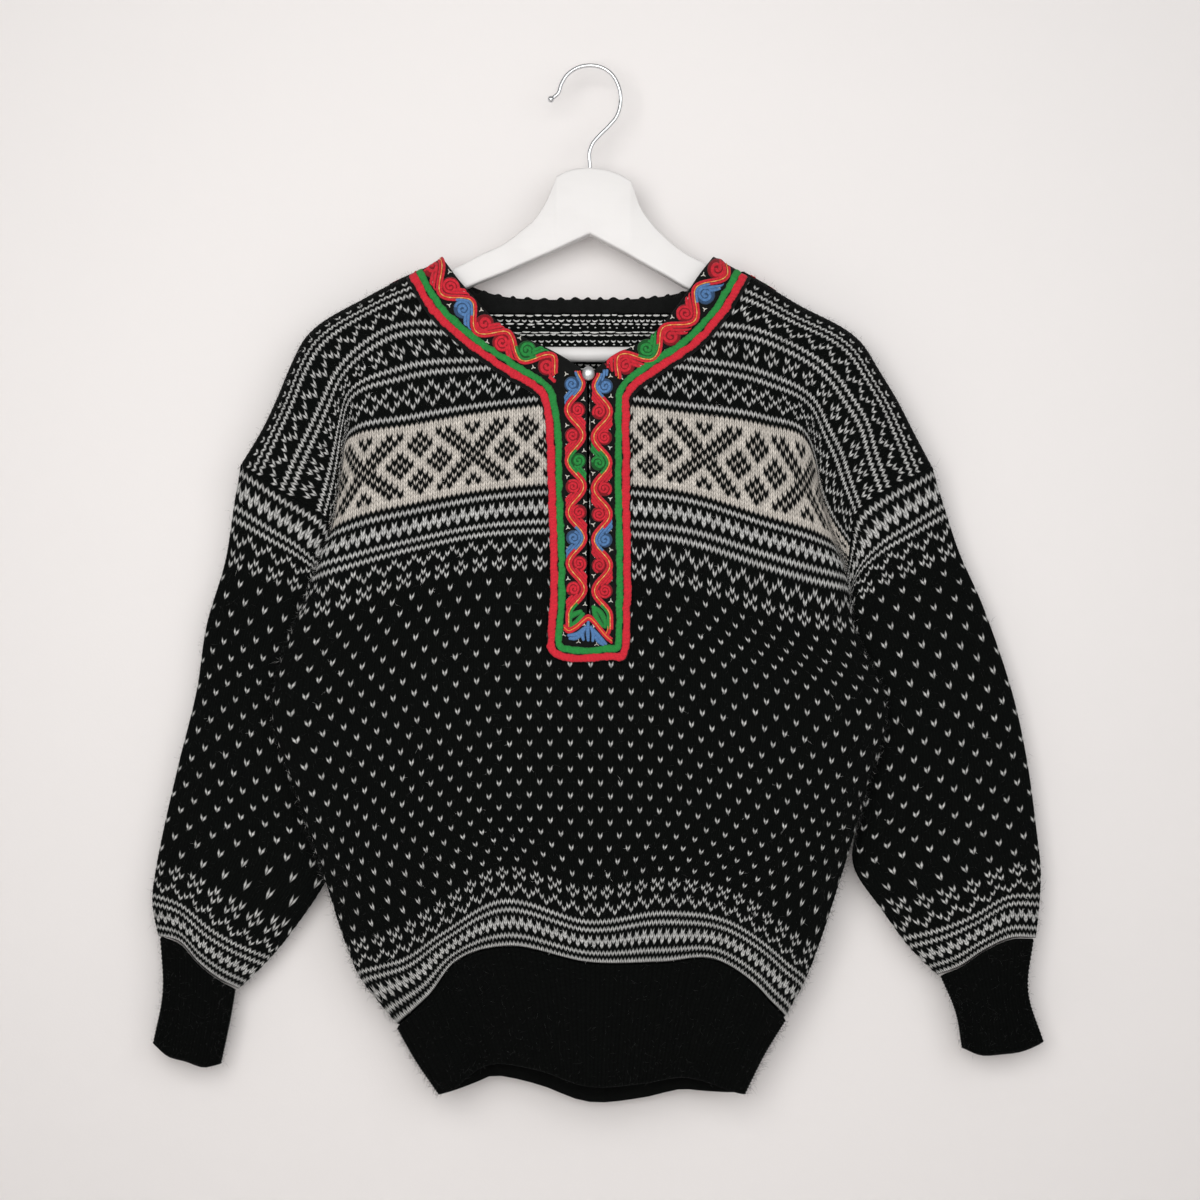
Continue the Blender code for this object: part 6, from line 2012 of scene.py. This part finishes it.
class PULLOVER_OT_stage(bpy.types.Operator):
    """Set the wall, floor, lights and camera."""
    bl_idname, bl_label = "pullover.stage", "Stage"

    def execute(self, context):
        own = settings().stage
        scene = bpy.context.scene
        scene.view_settings.view_transform = "Standard"
        wall = wall_look("wall_paint", tuple(own.wall))
        low, high = (WALL_AT, FLOOR_AT), (WALL_AT, 2.2)
        for name, first, last in (("wall", low, high), ("floor", (-4, FLOOR_AT), low)):
            corners = [(x, *first) for x in (-3, 3)] + [(x, *last) for x in (3, -3)]
            mesh = bpy.data.meshes.new(name)
            mesh.from_pydata(corners, [], [(0, 1, 2, 3)])
            mesh.materials.append(wall)
            linked(name, mesh)
        for name, place, size, power, colour in (
                ("key", (-0.28, -1.30, -0.15), 1.0, 13.5, (1.0, 0.985, 0.970)),
                ("fill", (0.80, -1.45, -0.02), 1.2, 7.6, (0.99, 0.995, 1.0)),
                ("rear", (0.6, 2.2, 0.9), 1.6, 30.0, (1.0, 0.99, 0.98)),
                ("rear_low", (-1.2, 2.0, -0.5), 1.6, 18.0, (0.98, 0.99, 1.0))):
            lamp = bpy.data.lights.new(name, "AREA")
            lamp.size, lamp.energy, lamp.color = size, power * own.light, colour
            holder = linked(name, lamp)
            holder.location = place
            aim = np.array(LIT_AT) - np.array(place)
            flat = math.hypot(aim[0], aim[1])
            holder.rotation_euler = (math.atan2(flat, -aim[2]), 0.0, math.atan2(-aim[0], aim[1]))
        world = bpy.data.worlds.new("room")
        world.use_nodes = True
        sky = world.node_tree.nodes["Background"]
        sky.inputs["Color"].default_value = (1.0, 0.99, 0.985, 1.0)
        sky.inputs["Strength"].default_value = 0.29 * own.light
        scene.world = world
        lens = bpy.data.cameras.new("camera")
        lens.lens, lens.sensor_width, lens.sensor_fit = own.lens, 36.0, "AUTO"
        eye = linked("camera", lens)
        eye.location = (EYE[0] / 1000, -own.distance, EYE[2] / 1000)
        eye.rotation_euler = (math.pi / 2, 0.0, 0.0)
        scene.camera = eye
        return {"FINISHED"}


class PULLOVER_PT_panel(bpy.types.Panel):
    """Lists the pullover's settings and pieces."""
    bl_label, bl_idname = "Pullover", "PULLOVER_PT_panel"
    bl_space_type, bl_region_type, bl_category = "VIEW_3D", "UI", "Pullover"

    def draw(self, context):
        own = context.scene.pullover
        for title, group in (("Knitting", own.knit), ("Trim", own.trim),
                             ("Hanger", own.hanger), ("Stage", own.stage)):
            box = self.layout.box()
            box.label(text=title)
            for name in group.__annotations__:
                box.prop(group, name)
        for step in OPERATORS:
            self.layout.operator(step.bl_idname)


OPERATORS = (PULLOVER_OT_front, PULLOVER_OT_back, PULLOVER_OT_sleeves, PULLOVER_OT_ribs,
             PULLOVER_OT_bands, PULLOVER_OT_embroidery, PULLOVER_OT_hanger, PULLOVER_OT_stage)
CLASSES = (KnitSettings, TrimSettings, HangerSettings, StageSettings, PulloverSettings,
           *OPERATORS, PULLOVER_PT_panel)


def register():
    for cls in CLASSES:
        bpy.utils.register_class(cls)
    bpy.types.Scene.pullover = bpy.props.PointerProperty(type=PulloverSettings)


def unregister():
    del bpy.types.Scene.pullover
    for cls in reversed(CLASSES):
        bpy.utils.unregister_class(cls)


def main():
    """Register, then make every piece in turn."""
    register()
    for step in ("front", "back", "sleeves", "ribs", "bands", "embroidery", "hanger", "stage"):
        getattr(bpy.ops.pullover, step)()


if __name__ == "__main__":
    main()
